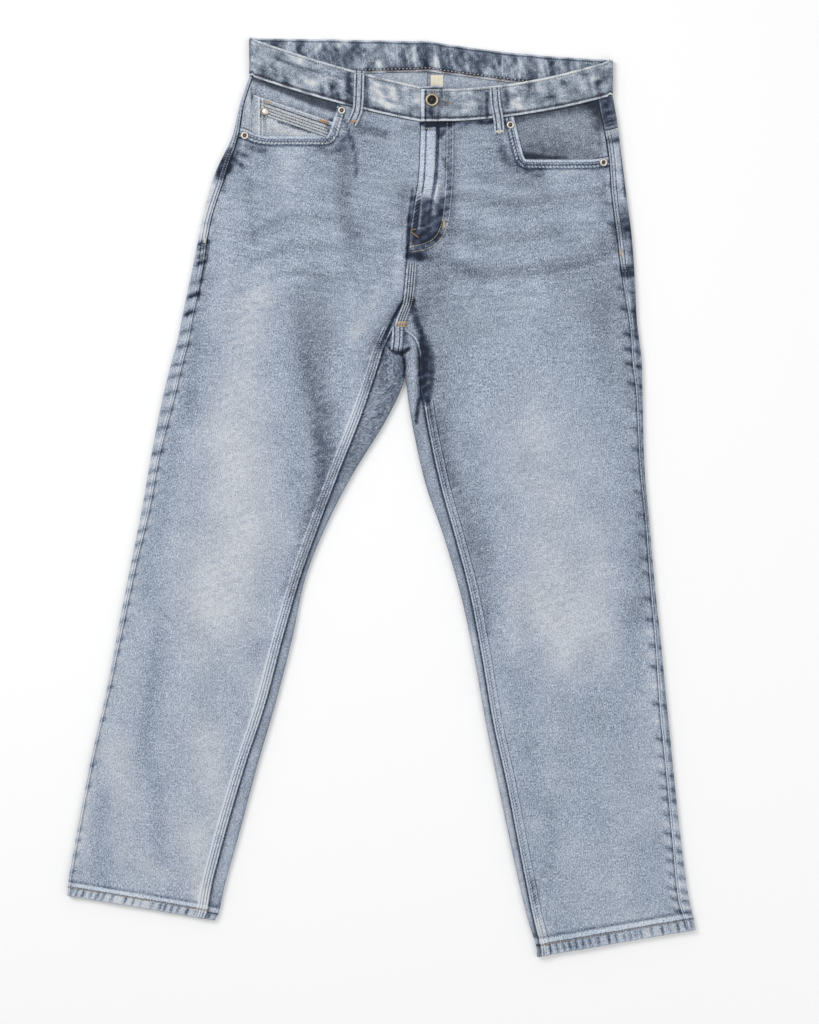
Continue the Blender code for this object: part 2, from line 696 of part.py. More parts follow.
def button():
    """The cap of the tack button, dished in the middle, on the buttonhole end."""
    x, y = BUTTON_PLACE
    base = BAND_HEIGHT + OVERLAP_RISE + LAY_GAP + 0.5
    radius, tall = BUTTON_RADIUS, BUTTON_HEIGHT
    rim = radius * 0.78
    profile = ((0, tall * 0.45), (rim * 0.45, tall * 0.5), (rim * 0.75, tall * 0.95), (rim, tall),
               (radius, tall * 0.65), (radius, tall * 0.3), (radius * 0.8, 0), (0, 0))
    turned("button", profile, Vector((x, y, base)), 24, "old_brass")


def size_label():
    """A small bare label on the inside of the back yoke, just below the waistband."""
    width, length = LABEL_SIZE
    left, top = LABEL_CORNER
    base = DENIM + LAY_GAP + LABEL_WALL
    grid = [[Vector((left + width * across, top - length * down, base)) for across in (0, 0.5, 1)]
            for down in (0, 0.5, 1)]
    cloth("size_label", grid, LABEL_WALL, True, "label")


def build():
    for side, leg in LEGS.items():
        front_panel(side, leg)
        facing_and_coin_pocket(side, leg)
        back_panel(side, leg)
        yoke(side, leg)
        back_pocket(side, leg)
    waistband()
    front_loop("right", RIGHT, 0.628, -0.12)
    front_loop("left", LEFT, 0.6, 0.12)
    back_loop("right", RIGHT, BACK_LOOP_PLACE)
    back_loop("centre", RIGHT, 1.0)
    back_loop("left", LEFT, BACK_LOOP_PLACE)
    rivet("rivet_right_inner", RIGHT, -46.5, 453)
    rivet("rivet_right_outer", RIGHT, -160, 423.5)
    rivet("rivet_coin_pocket", RIGHT, -136, 452, FACING_DROP - COIN_RISE)
    rivet("rivet_left_inner", LEFT, 150.9, 436)
    rivet("rivet_left_outer", LEFT, 260, 392)
    button()
    size_label()


for old in list(bpy.data.objects):
    bpy.data.objects.remove(old)
JEANS = collection_for("slim_fit_jeans")
build()
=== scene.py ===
import math
from collections import namedtuple

import bpy
import numpy as np
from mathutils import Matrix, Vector
from mathutils.bvhtree import BVHTree


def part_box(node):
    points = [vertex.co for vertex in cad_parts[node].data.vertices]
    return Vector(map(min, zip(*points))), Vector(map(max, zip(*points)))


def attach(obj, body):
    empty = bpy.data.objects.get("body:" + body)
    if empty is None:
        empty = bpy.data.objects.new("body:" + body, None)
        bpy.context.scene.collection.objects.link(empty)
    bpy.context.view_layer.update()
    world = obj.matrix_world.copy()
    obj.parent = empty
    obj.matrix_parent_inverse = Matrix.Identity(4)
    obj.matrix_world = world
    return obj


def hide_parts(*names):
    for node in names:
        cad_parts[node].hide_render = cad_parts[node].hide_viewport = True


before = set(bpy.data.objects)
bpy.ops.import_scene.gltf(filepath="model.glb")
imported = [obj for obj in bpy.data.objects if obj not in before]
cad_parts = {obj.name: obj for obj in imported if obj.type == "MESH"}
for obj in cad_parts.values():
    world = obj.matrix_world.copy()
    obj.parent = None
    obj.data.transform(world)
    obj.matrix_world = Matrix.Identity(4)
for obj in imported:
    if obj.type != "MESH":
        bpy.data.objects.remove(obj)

MM = 0.001
PIXEL = 1.17                      # millimetres to a pixel of the photograph
ORIGIN_X, ORIGIN_Y = 381.5, 497.5  # the pixel of the part's origin
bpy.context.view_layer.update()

# ---- the form, as the part's source has it ---------------------------------------------------
DENIM = 1.2
BAND_WALL = 2.4
POCKET_WALL = 1.0
LOOP_WALL = 1.6
LABEL_WALL = 0.5
SEAM_GAP = 0.5
LAY_GAP = 0.35
FOLD_RADIUS = 4.5
EDGE_HEIGHT = 8.0
WAIST_HEIGHT = 8.6
MID_DIP = 1.6
DIP_REACH = 16.0
BAND_HEIGHT = 9.9
OVERLAP_RISE = 2.8
OVERLAP_LENGTH = 40.0
UNDERLAP = 26.0
FLY_RISE = 1.5
FLY_WIDTH = 38.0
FORK, LOBE, CROTCH, HEM = 6, 7, 8, 19     # stations down a leg

# Down the centre: front x, y and back x, y.
CENTRE = (
    (46, 439, 54, 499), (45, 407, 53, 453), (43, 371, 51, 401), (37, 334, 47, 348),
    (31, 290, 43, 295), (26, 236, 36, 237), (20, 199, 30, 185), (23, 175, 28, 160),
)
# Down a leg: outer x, y, inner x, y, outseam, inseam, bow.
RIGHT_LEG = (
    (-155, 493, 0, 0, 3.8, 0, 4), (-166, 460, 0, 0, 4.5, 0, 3), (-175, 423, 0, 0, 7, 0, 2),
    (-196, 377, 0, 0, 13, 0, 0), (-210, 325, 0, 0, 10.5, 0, 0), (-222, 266, 0, 0, 13, 0, 0),
    (-233, 214, 0, 0, 13, 5, 0), (-239, 184, 0, 0, 13.5, 19, 0),
    (-246, 159, 27.2, 140, 14, 34, 0), (-257, 114, 5, 90, 14, 29, 0),
    (-269, 53, -35, 25, 10.5, 15, 0), (-281, -15, -67, -38, 9.5, 7, 0),
    (-294, -80, -90, -97, 7, 5, 0), (-307, -146, -105, -167, 6, 10, 0),
    (-322, -225, -125, -244, 4, 10.5, 0), (-338, -295, -146, -316, 3.5, 13, 0),
    (-353, -371, -166, -391, 3.5, 15, 0), (-364, -431, -183, -452, 3.5, 14, 0),
    (-367, -452, -190, -484, 3.5, 13, 0), (-368, -466, -195, -495, 3.5, 12, 0),
)
LEFT_LEG = (
    (271, 470, 0, 0, 17.5, 0, 8), (277, 435, 0, 0, 16.5, 0, 6), (281, 401, 0, 0, 15, 0, 4),
    (287, 354, 0, 0, 17.5, 0, 0), (293, 307, 0, 0, 17.5, 0, 0), (297, 254, 0, 0, 15, 0, 0),
    (299, 210, 0, 0, 9.5, 3, 0), (302, 184, 0, 0, 10, 18, 0),
    (305, 159, 28.4, 140, 11.5, 17.5, 0), (306, 120, 35, 91, 8, 16.5, 0),
    (308, 38, 51, 18, 6, 16, 0), (314, -32, 73, -46, 5, 12, 0),
    (320, -100, 92, -111, 6, 10, 0), (327, -167, 108, -184, 7, 8, 0),
    (335, -249, 122, -263, 9.5, 7.5, 0), (342, -319, 136, -333, 9.5, 9, 0),
    (350, -395, 152, -410, 10.5, 8, 0), (359, -463, 169, -485, 13, 6, 0),
    (365.5, -493, 181, -525, 11.5, 4, 0), (368, -506, 182, -538, 10.5, 4, 0),
)
# The solids' largest folds: start x, y, end x, y, width, height.
FOLDS = (
    (53, 192, 51, 118, 7, -3.2), (26, 186, 24, 168, 9, 2.4), (55, 425, 57, 340, 7, 1.2),
    (-160, 190, -225, -80, 42, 2.6), (-72, 190, -112, -120, 15, -1.6),
    (238, 110, 245, -180, 38, 2.6), (110, 70, 128, -150, 16, -1.6),
    (293, 70, 302, -150, 12, -1.2), (-230, -260, -300, -440, 30, 1.6),
    (240, -260, 275, -470, 34, 1.8), (-40, 440, -32, 390, 8, 1.0),
)
# How far the left front's edge is from its solid's by the crotch: station, millimetres. + is over
# the right front, where the felled rise seam ends; - uncovers the back's lobe.
RISE_SHIFT = ((4.9, 0), (5.25, 1.2), (5.5, 3.4), (5.75, 5.8), (6.03, 8.6), (6.1, 3.0), (6.25, -5.0),
              (6.5, -5.8), (6.75, -3.6), (7.0, -1.6), (7.5, -0.6), (8.0, 0))
Mouth = namedtuple("Mouth", "low_y end_rise side_x side_y side_slope")
RIGHT_MOUTH = Mouth(423, 9, -52, 458, 3.5)
LEFT_MOUTH = Mouth(395.5, 4, 155, 444, -4.0)
MOUTH_ROUNDING = 3.0
MOUTH_END_REACH = 16.0
FACING_CLEARANCE = 0.8
FACING_DROP = 2.7
COIN_RISE = POCKET_WALL + LAY_GAP
COIN_TOP_START, COIN_TOP_END = (-140, 469), (-59, 441)
YOKE_SIDE, YOKE_CENTRE = 1.05, 1.45
BACK_POCKET_ROWS = (1.95, 4.75)
BACK_POCKET_COLUMNS = (0.29, 0.83)
BACK_POCKET_POINT = 0.3
POCKET_MARGIN, POCKET_RAMP = 0.012, 0.045
POCKET_CLEAR, POCKET_TOP_RAMP, POCKET_POINT_RAMP = 0.06, 0.2, 0.3
POCKET_LIFT = POCKET_WALL + LAY_GAP
RIGHT_BAND_FRONT, RIGHT_BAND_BACK = (44.5, 43, 41), (44.5, 40, 35)
LEFT_BAND_FRONT, LEFT_BAND_BACK = (41.5, 38, 37.5), (41.5, 35, 35)
LOOP_WIDTH, LOOP_ARCH = 12.0, 1.5
BACK_LOOP_PLACE = 0.45
BACK_LOOP_LIFT = LOOP_WALL + LAY_GAP
LABEL_SIZE = (15.0, 17.0)


# ---- curves and forms ------------------------------------------------------------------------
def smooth(values, station):
    """A smooth curve through evenly numbered values, read at any stations."""
    values = np.asarray(values, float)
    station = np.asarray(station, float)
    last = len(values) - 1
    padded = np.concatenate(([2 * values[0] - values[1]], values, [2 * values[-1] - values[-2]]))
    first = np.clip(station.astype(int), 0, last - 1)
    part = station - first
    if values.ndim == 2:
        part = part[..., None]
    before, here, there, after = (padded[first + k] for k in range(4))
    bend = 2 * before - 5 * here + 4 * there - after
    twist = 3 * here - before - 3 * there + after
    return here + 0.5 * part * (there - before + part * (bend + part * twist))


def step(value, start, end):
    part = np.clip((np.asarray(value, float) - start) / (end - start), 0, 1)
    return part * part * (3 - 2 * part)


def mix(first, second, part):
    return first + (second - first) * part


def bump(distance, width):
    """A soft hill: 1 at no distance, and all but gone at twice the width."""
    return np.exp(-(np.asarray(distance) / width) ** 2)


def near(value, start, end):
    """1 up to a start, 0 past an end, and soft between them."""
    return 1 - step(value, start, end)


def hills(distance, rows):
    """Soft hills and hollows beside a line: rows of height, place and width."""
    return sum(height * bump(distance - place, width) for height, place, width in rows)


def grooves(places, depth, width):
    """Rows for hills: one groove at each of some places."""
    return tuple((-depth, place, width) for place in places)


def rolled(distance):
    inside = 1 - (1 - np.clip(np.asarray(distance, float) / FOLD_RADIUS, 0, 1)) ** 2
    return np.sqrt(np.clip(inside, 0, 1))


def xyz(x, y, z):
    return np.stack(np.broadcast_arrays(x, y, z), axis=-1).astype(float)


def length_of(vectors):
    return np.sqrt((vectors ** 2).sum(axis=-1))


def run_along(path):
    """How far along a path each of its points is."""
    return np.concatenate(([0], np.cumsum(length_of(np.diff(path, axis=0)))))


def fold_height(x, y):
    total = np.zeros(np.shape(x))
    for start_x, start_y, end_x, end_y, width, height in FOLDS:
        run_x, run_y = end_x - start_x, end_y - start_y
        length = math.hypot(run_x, run_y)
        along = ((x - start_x) * run_x + (y - start_y) * run_y) / length
        across = ((x - start_x) * run_y - (y - start_y) * run_x) / length
        past = np.maximum(0, np.maximum(-along, along - length))
        total = total + height * np.exp(-(across ** 2 + past ** 2) / width ** 2)
    return total


def pixels(points):
    """Pixels of the photograph as millimetres of the part's frame."""
    points = np.asarray(points, float)
    return np.stack(((points[:, 0] - ORIGIN_X) * PIXEL, (ORIGIN_Y - points[:, 1]) * PIXEL), axis=1)


def curved(points, spacing=4.0):
    """A smooth path through a few points, with a stop every few millimetres."""
    points = np.asarray(points, float)
    count = int(length_of(np.diff(points, axis=0)).sum() / spacing) + 2
    return smooth(points, np.linspace(0, len(points) - 1, count))


def from_path(x, y, path):
    """How far places are from a path, how far along it, and on which side: + is its left."""
    nearest = np.full(np.shape(x), 1e9)
    along = np.zeros(np.shape(x))
    side = np.ones(np.shape(x))
    done = 0.0
    for (ax, ay), (bx, by) in zip(path[:, :2], path[1:, :2]):
        run_x, run_y = bx - ax, by - ay
        length = math.hypot(run_x, run_y) or 1e-9
        part = np.clip(((x - ax) * run_x + (y - ay) * run_y) / length ** 2, 0, 1)
        away_x, away_y = x - ax - part * run_x, y - ay - part * run_y
        distance = np.hypot(away_x, away_y)
        closer = distance < nearest
        nearest = np.where(closer, distance, nearest)
        along = np.where(closer, done + part * length, along)
        side = np.where(closer, np.sign(run_x * away_y - run_y * away_x), side)
        done += length
    return nearest, along, side


class Leg:
    """One leg and its half of the body, as in the part's source, for whole grids of places."""

    def __init__(self, side, rows, mouth, band_front, band_back):
        rows = np.array(rows, float)
        centre = np.array(CENTRE, float)
        half_gap = np.array((side * SEAM_GAP / 2, 0))
        self.side, self.mouth = side, mouth
        self.band_front, self.band_back = band_front, band_back
        self.outer_points = rows[:, 0:2]
        self.inner_points = np.concatenate((centre[:, 0:2] + half_gap, rows[CROTCH:, 2:4]))
        self.back_points = np.concatenate((centre[:, 2:4] + half_gap, rows[CROTCH:, 2:4]))
        self.outseams, self.inseams, self.bows = rows[:, 4], rows[:, 5], rows[:, 6]

    def edge_height(self, station):
        return mix(WAIST_HEIGHT, EDGE_HEIGHT, step(station, 0, 2))

    def width(self, station):
        return length_of(smooth(self.inner_points, station) - smooth(self.outer_points, station))

    def under_width(self, station):
        return length_of(smooth(self.back_points, station) - smooth(self.outer_points, station))

    def top(self, station, distance, drop=0.0):
        station, distance = np.broadcast_arrays(np.asarray(station, float), distance)
        outer = smooth(self.outer_points, station)
        chord = smooth(self.inner_points, station) - outer
        width = length_of(chord)
        part = distance / width
        place = outer + chord * part[..., None]
        x, y = place[..., 0], place[..., 1] - smooth(self.bows, station) * 4 * part * (1 - part)
        left = width - distance
        inner_roll = step(station, FORK - 0.5, LOBE) * (1 - rolled(left))
        level = self.edge_height(station) * (1 - 0.5 * (1 - rolled(distance)) - 0.5 * inner_roll)
        level = level - MID_DIP * (1 - bump(distance, DIP_REACH)) * (1 - bump(left, DIP_REACH))
        level = level + fold_height(x, y) * rolled(distance) * rolled(left)
        if self.side > 0:
            fly = FLY_RISE * near(left, FLY_WIDTH - 12, FLY_WIDTH) * near(station, 4, 5.5)
            level = level + np.where(station < FORK, fly, 0)
        return xyz(x, y, level - drop)

    def under(self, station, distance, from_outer=True, lift=0.0):
        station, distance = np.broadcast_arrays(np.asarray(station, float), distance)
        outer = smooth(self.outer_points, station)
        inner = smooth(self.back_points, station)
        chord = inner - outer
        chord = chord / length_of(chord)[..., None]
        if from_outer:
            place, turn = outer + chord * distance[..., None], 1.0
        else:
            place, turn = inner - chord * distance[..., None], step(station, LOBE, CROTCH)
        level = self.edge_height(station) * 0.5 * (1 - rolled(distance)) * turn
        return xyz(place[..., 0], place[..., 1], level + lift)

    def front_span(self, station):
        """Where the front panel starts and ends, as distances in from the outline."""
        start = smooth(self.outseams, station) + SEAM_GAP / 2
        end = self.width(station) - smooth(self.inseams, station)
        return start, end - np.where(np.asarray(station) > FORK - 1, SEAM_GAP / 2, 0)

    def front_point(self, station, part, drop=0.0):
        start, end = self.front_span(station)
        return self.top(station, mix(start, end, part), drop)

    def mouth_height(self, x):
        mouth = self.mouth
        from_seam = np.abs(x - smooth(self.outer_points, 1.8)[0]) - 8.0
        low = mouth.low_y + mouth.end_rise * bump(np.maximum(0, from_seam), MOUTH_END_REACH)
        steep = mouth.side_y + mouth.side_slope * (x - mouth.side_x)
        return low + MOUTH_ROUNDING * np.log1p(np.exp(np.minimum(40, (steep - low) / MOUTH_ROUNDING)))

    def mouth_station(self, part):
        """The stations where the pocket mouth crosses the lines at these parts of the panel."""
        part = np.asarray(part, float)
        low, high = np.zeros(part.shape), np.full(part.shape, 3.0)
        start = self.front_point(0, part)
        for _ in range(30):
            middle = (low + high) / 2
            point = self.front_point(middle, part)
            above = point[..., 1] > self.mouth_height(point[..., 0])
            low, high = np.where(above, middle, low), np.where(above, high, middle)
        return np.where(start[..., 1] <= self.mouth_height(start[..., 0]), 0.0, (low + high) / 2)

    def yoke_station(self, part):
        return mix(YOKE_SIDE, YOKE_CENTRE, part)

    def seam_length(self, station, inner=False):
        """Millimetres along the leg from the waist to a station."""
        stations = np.linspace(0, HEM, 200)
        points = smooth(self.inner_points if inner else self.outer_points, stations)
        return np.interp(station, stations, run_along(points))

    def rows_between(self, first, last, spacing):
        """Stations from first to last, spaced evenly down the leg."""
        ends = self.seam_length(np.array((first, last)))
        count = int((ends[1] - ends[0]) / spacing) + 1
        stations = np.linspace(0, HEM, 400)
        return np.interp(np.linspace(ends[0], ends[1], count + 1), self.seam_length(stations), stations)


RIGHT = Leg(-1, RIGHT_LEG, RIGHT_MOUTH, RIGHT_BAND_FRONT, RIGHT_BAND_BACK)
LEFT = Leg(1, LEFT_LEG, LEFT_MOUTH, LEFT_BAND_FRONT, LEFT_BAND_BACK)
LEGS = {"right": RIGHT, "left": LEFT}

# ---- wear, creases and painted shade, read off the photograph, in its pixels -----------------
# A stroke lightens or darkens the cloth along a soft path, and may raise or sink it too.
# shade is in steps of the wash, where 0 is dark indigo and 1 is all but white; lift is in mm.
# power is how hard its edge is: 2 is soft, and 4 is a clear edge.
Stroke = namedtuple("Stroke", "path width shade lift power")
# A patch does so inside a closed outline; edge is how soft its border is.
Patch = namedtuple("Patch", "path edge shade lift")


def pairs(numbers):
    """Points, or stops, from a flat row of x,y after x,y."""
    return tuple(zip(numbers[::2], numbers[1::2]))


def crease(width, shade, lift, *path, power=2):
    return Stroke(pairs(path), width, shade, lift, power)


def sharp(width, shade, lift, *path):
    return crease(width, shade, lift, *path, power=3)


def tone(width, shade, *path):
    return crease(width, shade, 0.0, *path)


def patch(edge, shade, lift, *path):
    return Patch(pairs(path), edge, shade, lift)


BASE_WASH = {"right": 0.745, "left": 0.72}
# Wear down the legs, with painted shade along the deeper creases and in the fold beside the crotch.
THIGH_WEAR_AND_SHADE = {
    "right": (
        tone(30, .13, 248,300, 240,380, 235,470, 228,560, 214,610), tone(14, .06, 252,530, 244,570),
        tone(22, .05, 206,580, 192,650),
        crease(10, -.23, -.6, 302,290, 306,350, 315,410, 323,450, 322,485, 308,535, 291,592),
        crease(10, -.14, -.3, 330,410, 334,470), tone(12, -.07, 296,400, 300,520),
        crease(9, -.1, -.5, 318,285, 324,350, 322,410), crease(8, -.13, -.2, 316,432, 319,470, 320,505),
        crease(8, .1, .2, 303,286, 305,345), tone(8, .22, 202,900, 213,906), tone(5, .2, 204,908, 211,914),
        tone(7, -.08, 108,850, 106,884), tone(15, -.04, 212,600, 218,626),
        crease(8, .06, .4, 354,300, 354,380, 352,440), crease(6, -.2, -.4, 381,336, 374,356, 368,385),
        tone(9, -.07, 206,280, 196,340, 190,420), tone(12, -.08, 190,400, 172,440, 160,520, 146,600),
        crease(8, -.07, -.4, 156,630, 155,670, 148,720, 142,760),
        crease(9, -.07, -.4, 152,760, 158,810, 160,860), tone(8, -.07, 102,795, 97,840, 98,878),
        crease(17, .07, .3, 114,756, 124,800, 124,850), tone(9, .08, 84,790, 78,840),
        tone(13, .12, 196,840, 202,890), tone(16, .1, 204,740, 214,790, 222,820),
        tone(9, .07, 262,660, 256,720), tone(6, -.08, 256,645, 258,668),
        crease(1.4, -.14, -.4, 160,608, 171,622), tone(9, -.05, 120,610, 136,650),
        tone(10, .07, 150,862, 160,872),
    ),
    "left": (
        tone(32, .08, 520,320, 535,400, 545,480, 556,560, 568,620), tone(26, .06, 540,590, 560,650),
        tone(13, .08, 594,530, 602,566), tone(12, .04, 508,450, 516,480), tone(10, .07, 512,590, 515,640),
        tone(16, .03, 570,656, 578,684), tone(18, .07, 602,596, 604,664), tone(15, .05, 532,590, 540,620),
        crease(13, -.12, -.4, 432,360, 446,440, 462,500, 480,570, 484,600),
        crease(8, -.08, -.3, 436,420, 452,478, 470,545), tone(10, -.07, 470,440, 480,500, 490,560),
        tone(11, -.09, 636,420, 640,520, 642,610), tone(6, -.08, 640,500, 643,560),
        tone(12, -.05, 600,300, 612,400, 618,460), tone(4, -.16, 487,612, 488,632),
        tone(4, -.22, 533,882, 536,900), tone(14, -.06, 592,700, 600,730),
        crease(8, -.12, -.2, 429,415, 437,450, 447,482), tone(5, -.12, 477,614, 481,642),
        tone(2.8, -.22, 635,300, 640.5,400, 644,480, 651,560, 659,640, 667,720, 675,800),
        tone(5, -.12, 416,430, 424,462), tone(5, .2, 538,922, 542,948), tone(8, -.06, 628,600, 640,690),
        tone(14, -.06, 520,700, 536,800), tone(8, -.07, 552,800, 549,892), tone(14, .04, 622,890, 650,925),
    ),
}
# The curved double stitching of the fly.
JAY = ((450, 122), (450, 150), (449.5, 175), (448, 200), (445, 222), (438, 238), (426, 246), (411, 249.5))
# The upper part, both sides: pocket ends, the fly, whiskers and the sides of the hips, with painted shadow
# under the waistband's edge, beside the fly and in the pocket corners.
HIP_WEAR_AND_SHADE = (
    sharp(1.5, -.34, -.8, 345,121, 350,135, 354,148, 356,160, 356,176),
    crease(9, -.19, -.7, 349,136, 346,160, 344,200, 351,236),
    crease(4.5, -.24, -.3, 320,149, 336,152, 343,140), sharp(3, .22, .3, 338,120, 340,132),
    crease(4.5, -.24, -.3, 360,127, 372,130, 386,134), tone(12, -.06, 366,134, 380,150),
    crease(3, -.3, -.4, 248,147, 264,151), crease(2.4, -.38, -.4, 239,153, 247,156),
    patch(2.4, -.62, -.3, 231,148, 226,151, 221,158, 217,168, 216,178, 222,179, 229,172, 233,160),
    sharp(3.6, -.3, -.3, 238,138, 235,152, 229,172), crease(2.6, -.38, -.3, 236,161, 243,167),
    crease(2, -.3, -.2, 225,178, 223,192), crease(4.2, .24, .2, 212,186, 207,205, 203,222, 202,236),
    sharp(2, -.52, -.6, 206,241, 200,244), sharp(1.8, -.5, -.6, 205,247, 199,250),
    sharp(2.2, -.54, -.6, 204,255, 199,257), sharp(2, -.5, -.6, 203,261, 198,264),
    sharp(1.5, -.36, -.3, 209,240, 207,258, 202,276, 198,300), sharp(2.2, -.42, -.5, 197,293, 190,296),
    sharp(2.2, -.4, -.5, 191,311, 187,315), tone(5, -.1, 248,180, 248,196), tone(5, -.1, 252,214, 254,242),
    tone(13, .06, 226,200, 222,280, 214,330), crease(16, .07, .2, 290,160, 286,200),
    tone(14, .04, 270,250, 262,300), tone(10, .06, 300,288, 318,292),
    crease(8, .1, .3, 377,290, 366,320, 352,336),
    # the fly, with painted shadow under the waistband's edge over it and in its folds
    patch(1.4, -.95, -.5, 420,120, 451,119.5, 452,125, 440,127, 422,126.5),
    tone(1.6, -.2, 424,129.5, 436,129.5), sharp(2.2, -.4, -.4, 450,123, 470,122.5, 492,121.5),
    patch(1.4, -.46, -.5, 438,129, 446,129, 445,134, 441,139, 438,137),
    patch(2.6, -.46, -.7, 416,206, 421,198, 430,199, 437,203, 443,211, 443,226, 438,238, 428,244, 414,246,
        410,240, 413,222), crease(5, -.16, -.3, 424,218, 425,240), crease(3, -.22, -.2, 441,197, 442,215),
    crease(2.2, .3, .4, 436.5,186, 434.5,203, 433.5,214), sharp(.9, .4, .3, 421.5,194, 420.5,212, 418.8,229),
    crease(1, .3, .3, 417,229.5, 425,227.5, 432,224.5), sharp(2.8, -.34, -.2, 415,198, 413.5,214, 412,229),
    crease(1.6, -.14, -.2, 428,240, 438,232, 442,222), sharp(4.4, -.52, -.2, 409.5,256.5, 420,257),
    tone(5, -.12, 423,252, 431,256), tone(6, -.09, 452,134, 454,170, 452,215),
    tone(5, -.11, 446,142, 450,172, 449,198), crease(3.6, -.22, -.2, 482,122.5, 497,122),
    tone(7, -.12, 446,200, 452,226, 446,246), sharp(1.5, -.34, -.6, 412.5,190, 410.5,204, 408.9,218),
    sharp(1.8, -.56, -.8, 409,216, 408,238, 407.2,258), sharp(1.5, -.3, -.6, 406.5,262, 405,284, 403,300),
    crease(6, -.12, -.2, 404,190, 402,222),
    sharp(1.6, -.6, -1, 402.5,302, 396.3,313, 390.3,324.5, 385,338, 381,347),
    crease(5.5, -.2, -.6, 399,306, 388,325, 378,345), crease(4.5, .07, .3, 398,232, 397,285),
    crease(7, -.14, -.2, 426,268, 424,300, 420,322), tone(9, -.1, 438,262, 440,300),
    # the left pocket's end and the hip beside it, with more painted shadow under the waistband, by the belt
    # loops and beside the rivet
    crease(5.4, -.24, -.4, 502,150, 510,163, 528,171, 540,172), crease(4, .1, .1, 548,172.5, 588,171),
    tone(3.4, -.08, 441,140, 441,190), tone(3.6, -.16, 404,128, 430,129, 465,127),
    crease(4, -.34, -.2, 418,256.5, 427,257), tone(3.6, -.13, 418,188, 417,236),
    crease(2.6, -.3, -.2, 430,124, 450,124), crease(3.4, -.2, -.2, 497,117, 503,124),
    crease(3.6, -.24, -.2, 321,129, 326,140), tone(3.4, -.12, 246,102, 243,124),
    tone(2.8, -.34, 409,250, 424,248.5, 434,243, 441,235), crease(2.2, -.26, -.2, 444,160, 449,172),
    crease(2, -.22, -.2, 448,182, 450,187), crease(2.2, -.24, -.2, 443,203, 447,208),
    crease(1.4, .24, .2, 444.5,189, 445,196), crease(4, -.12, -.2, 498,136, 505,158),
    crease(4, -.34, -.3, 614.5,223, 616,242), tone(7, -.12, 600,238, 606,254),
    patch(1.8, .16, .2, 612.5,146, 619,145, 622,170, 623.5,198, 619.5,198, 615.5,170),
    sharp(2, -.4, -.2, 621.5,146, 623.6,170, 626.4,196),
    patch(2.6, -.38, -.2, 618.5,213, 628,211, 632,226, 632.5,238, 621.5,238.5, 620,226),
    patch(2, -.14, 0, 624,240, 632,240, 634,265, 624,265), crease(1.6, .16, .3, 626,251, 627,261),
    sharp(2, -.36, -.2, 630.6,220, 632.4,244, 634.2,266), tone(3, .1, 608,176, 610,198),
    patch(1.4, -.46, -.3, 621,266, 634,265.5, 635,276, 622,277),
    crease(3, -.26, -.2, 632,278, 634,300, 636,330), tone(8, -.12, 620,276, 627,330, 632,400),
    tone(10, -.06, 604,280, 608,330), tone(7, -.07, 604,166, 606,214),
    patch(2, -.26, 0, 598,95, 614,91, 618,119, 604,124), tone(3, -.14, 606,99, 609,116),
    patch(1.2, .1, .3, 604,122, 619,118, 621,138, 607,138), crease(.7, -.34, -.1, 605,123, 617,119),
    crease(.7, -.34, -.1, 605.5,126.5, 618,123), crease(.7, -.34, -.1, 606,130, 618.5,127),
    crease(.7, -.34, -.1, 607,133.5, 619.5,131), sharp(3, -.5, -.5, 609,140, 621,139),
    tone(.9, .3, 600,104, 602,118), tone(1, .2, 605,101, 611,106), tone(1, .22, 606,111, 612,109),
    tone(.9, .26, 608,117, 615,115),
    # whiskers
    crease(4, -.07, -.6, 250,236, 290,216, 340,220), crease(4, .05, .4, 252,226, 292,205, 330,208),
    crease(4, -.08, -.6, 250,262, 300,246, 358,252), crease(4, .05, .4, 250,250, 296,232, 350,238),
    crease(4.5, -.07, -.5, 240,290, 290,272, 330,276), crease(4.5, -.08, -.6, 452,196, 520,203, 600,192),
    crease(4, .05, .4, 460,184, 530,190, 598,182), crease(5, -.07, -.6, 452,230, 500,240, 560,232),
    crease(5, .05, .4, 460,214, 520,222, 590,212), crease(9, .1, .2, 462,252, 478,258),
    crease(9, .08, .2, 548,248, 562,250), crease(6.5, -.13, -.7, 456,268, 500,273, 550,268, 590,262),
    crease(6, .05, .2, 452,290, 500,288), tone(6, -.05, 470,176, 540,188), tone(10, -.04, 470,330, 520,320),
)
# Painted shadow in the dark hollow between the left front's edge and the back of that leg.
CROTCH_SHADE = (
    sharp(3.6, -.4, -.4, 412,300, 415,316, 420,330),
    patch(3.4, -.4, -1.2, 421,331, 427,337, 431,346, 433,356, 434.5,372, 434,386, 431,399, 428,405, 423,401,
        419,390, 418,370, 418,350), crease(4, -.28, -.4, 421,336, 423,352, 423.5,372, 423,396),
    crease(3.6, -.16, -.3, 378,346, 383,353), tone(13, -.05, 424,300, 440,322),
    crease(4, -.2, -.4, 429,400, 430,416), sharp(2, -.52, -.5, 419,399, 417.5,410, 416.5,422),
)
# The back's two lobes below the knuckle where four seams meet: their wear, and painted shadow under the
# knuckle and in the fold between them.
LOBE_WEAR_AND_SHADE = (
    sharp(2.4, -.26, -.3, 405.5,333, 406,344), sharp(1.8, -.3, -.4, 389,336, 388,346),
    crease(1.9, -.66, -1, 390.5,348.5, 393.5,352, 399,353.5, 405,352, 409,348.5, power=4),
    crease(1.4, -.46, -.5, 400,354, 404,358, 405,366, 403.5,376, power=4),
    crease(4.5, .05, .6, 396,362, 392,380), crease(4.4, -.18, -.4, 386,356, 382,384),
    crease(4, .08, .5, 414,352, 413,384, 412,410),
    tone(9, -.19, 398,362, 392,384, 380,410, 362,440, 345,470, 328,498),
    crease(2.2, -.08, -.3, 402,362, 400,382, 391,404), tone(8, -.06, 300,556, 288,600),
    tone(9, .08, 250,756, 240,800, 232,850, 224,892),
    tone(9, .16, 474,640, 490,720, 504,790, 517,850, 529,915),
)

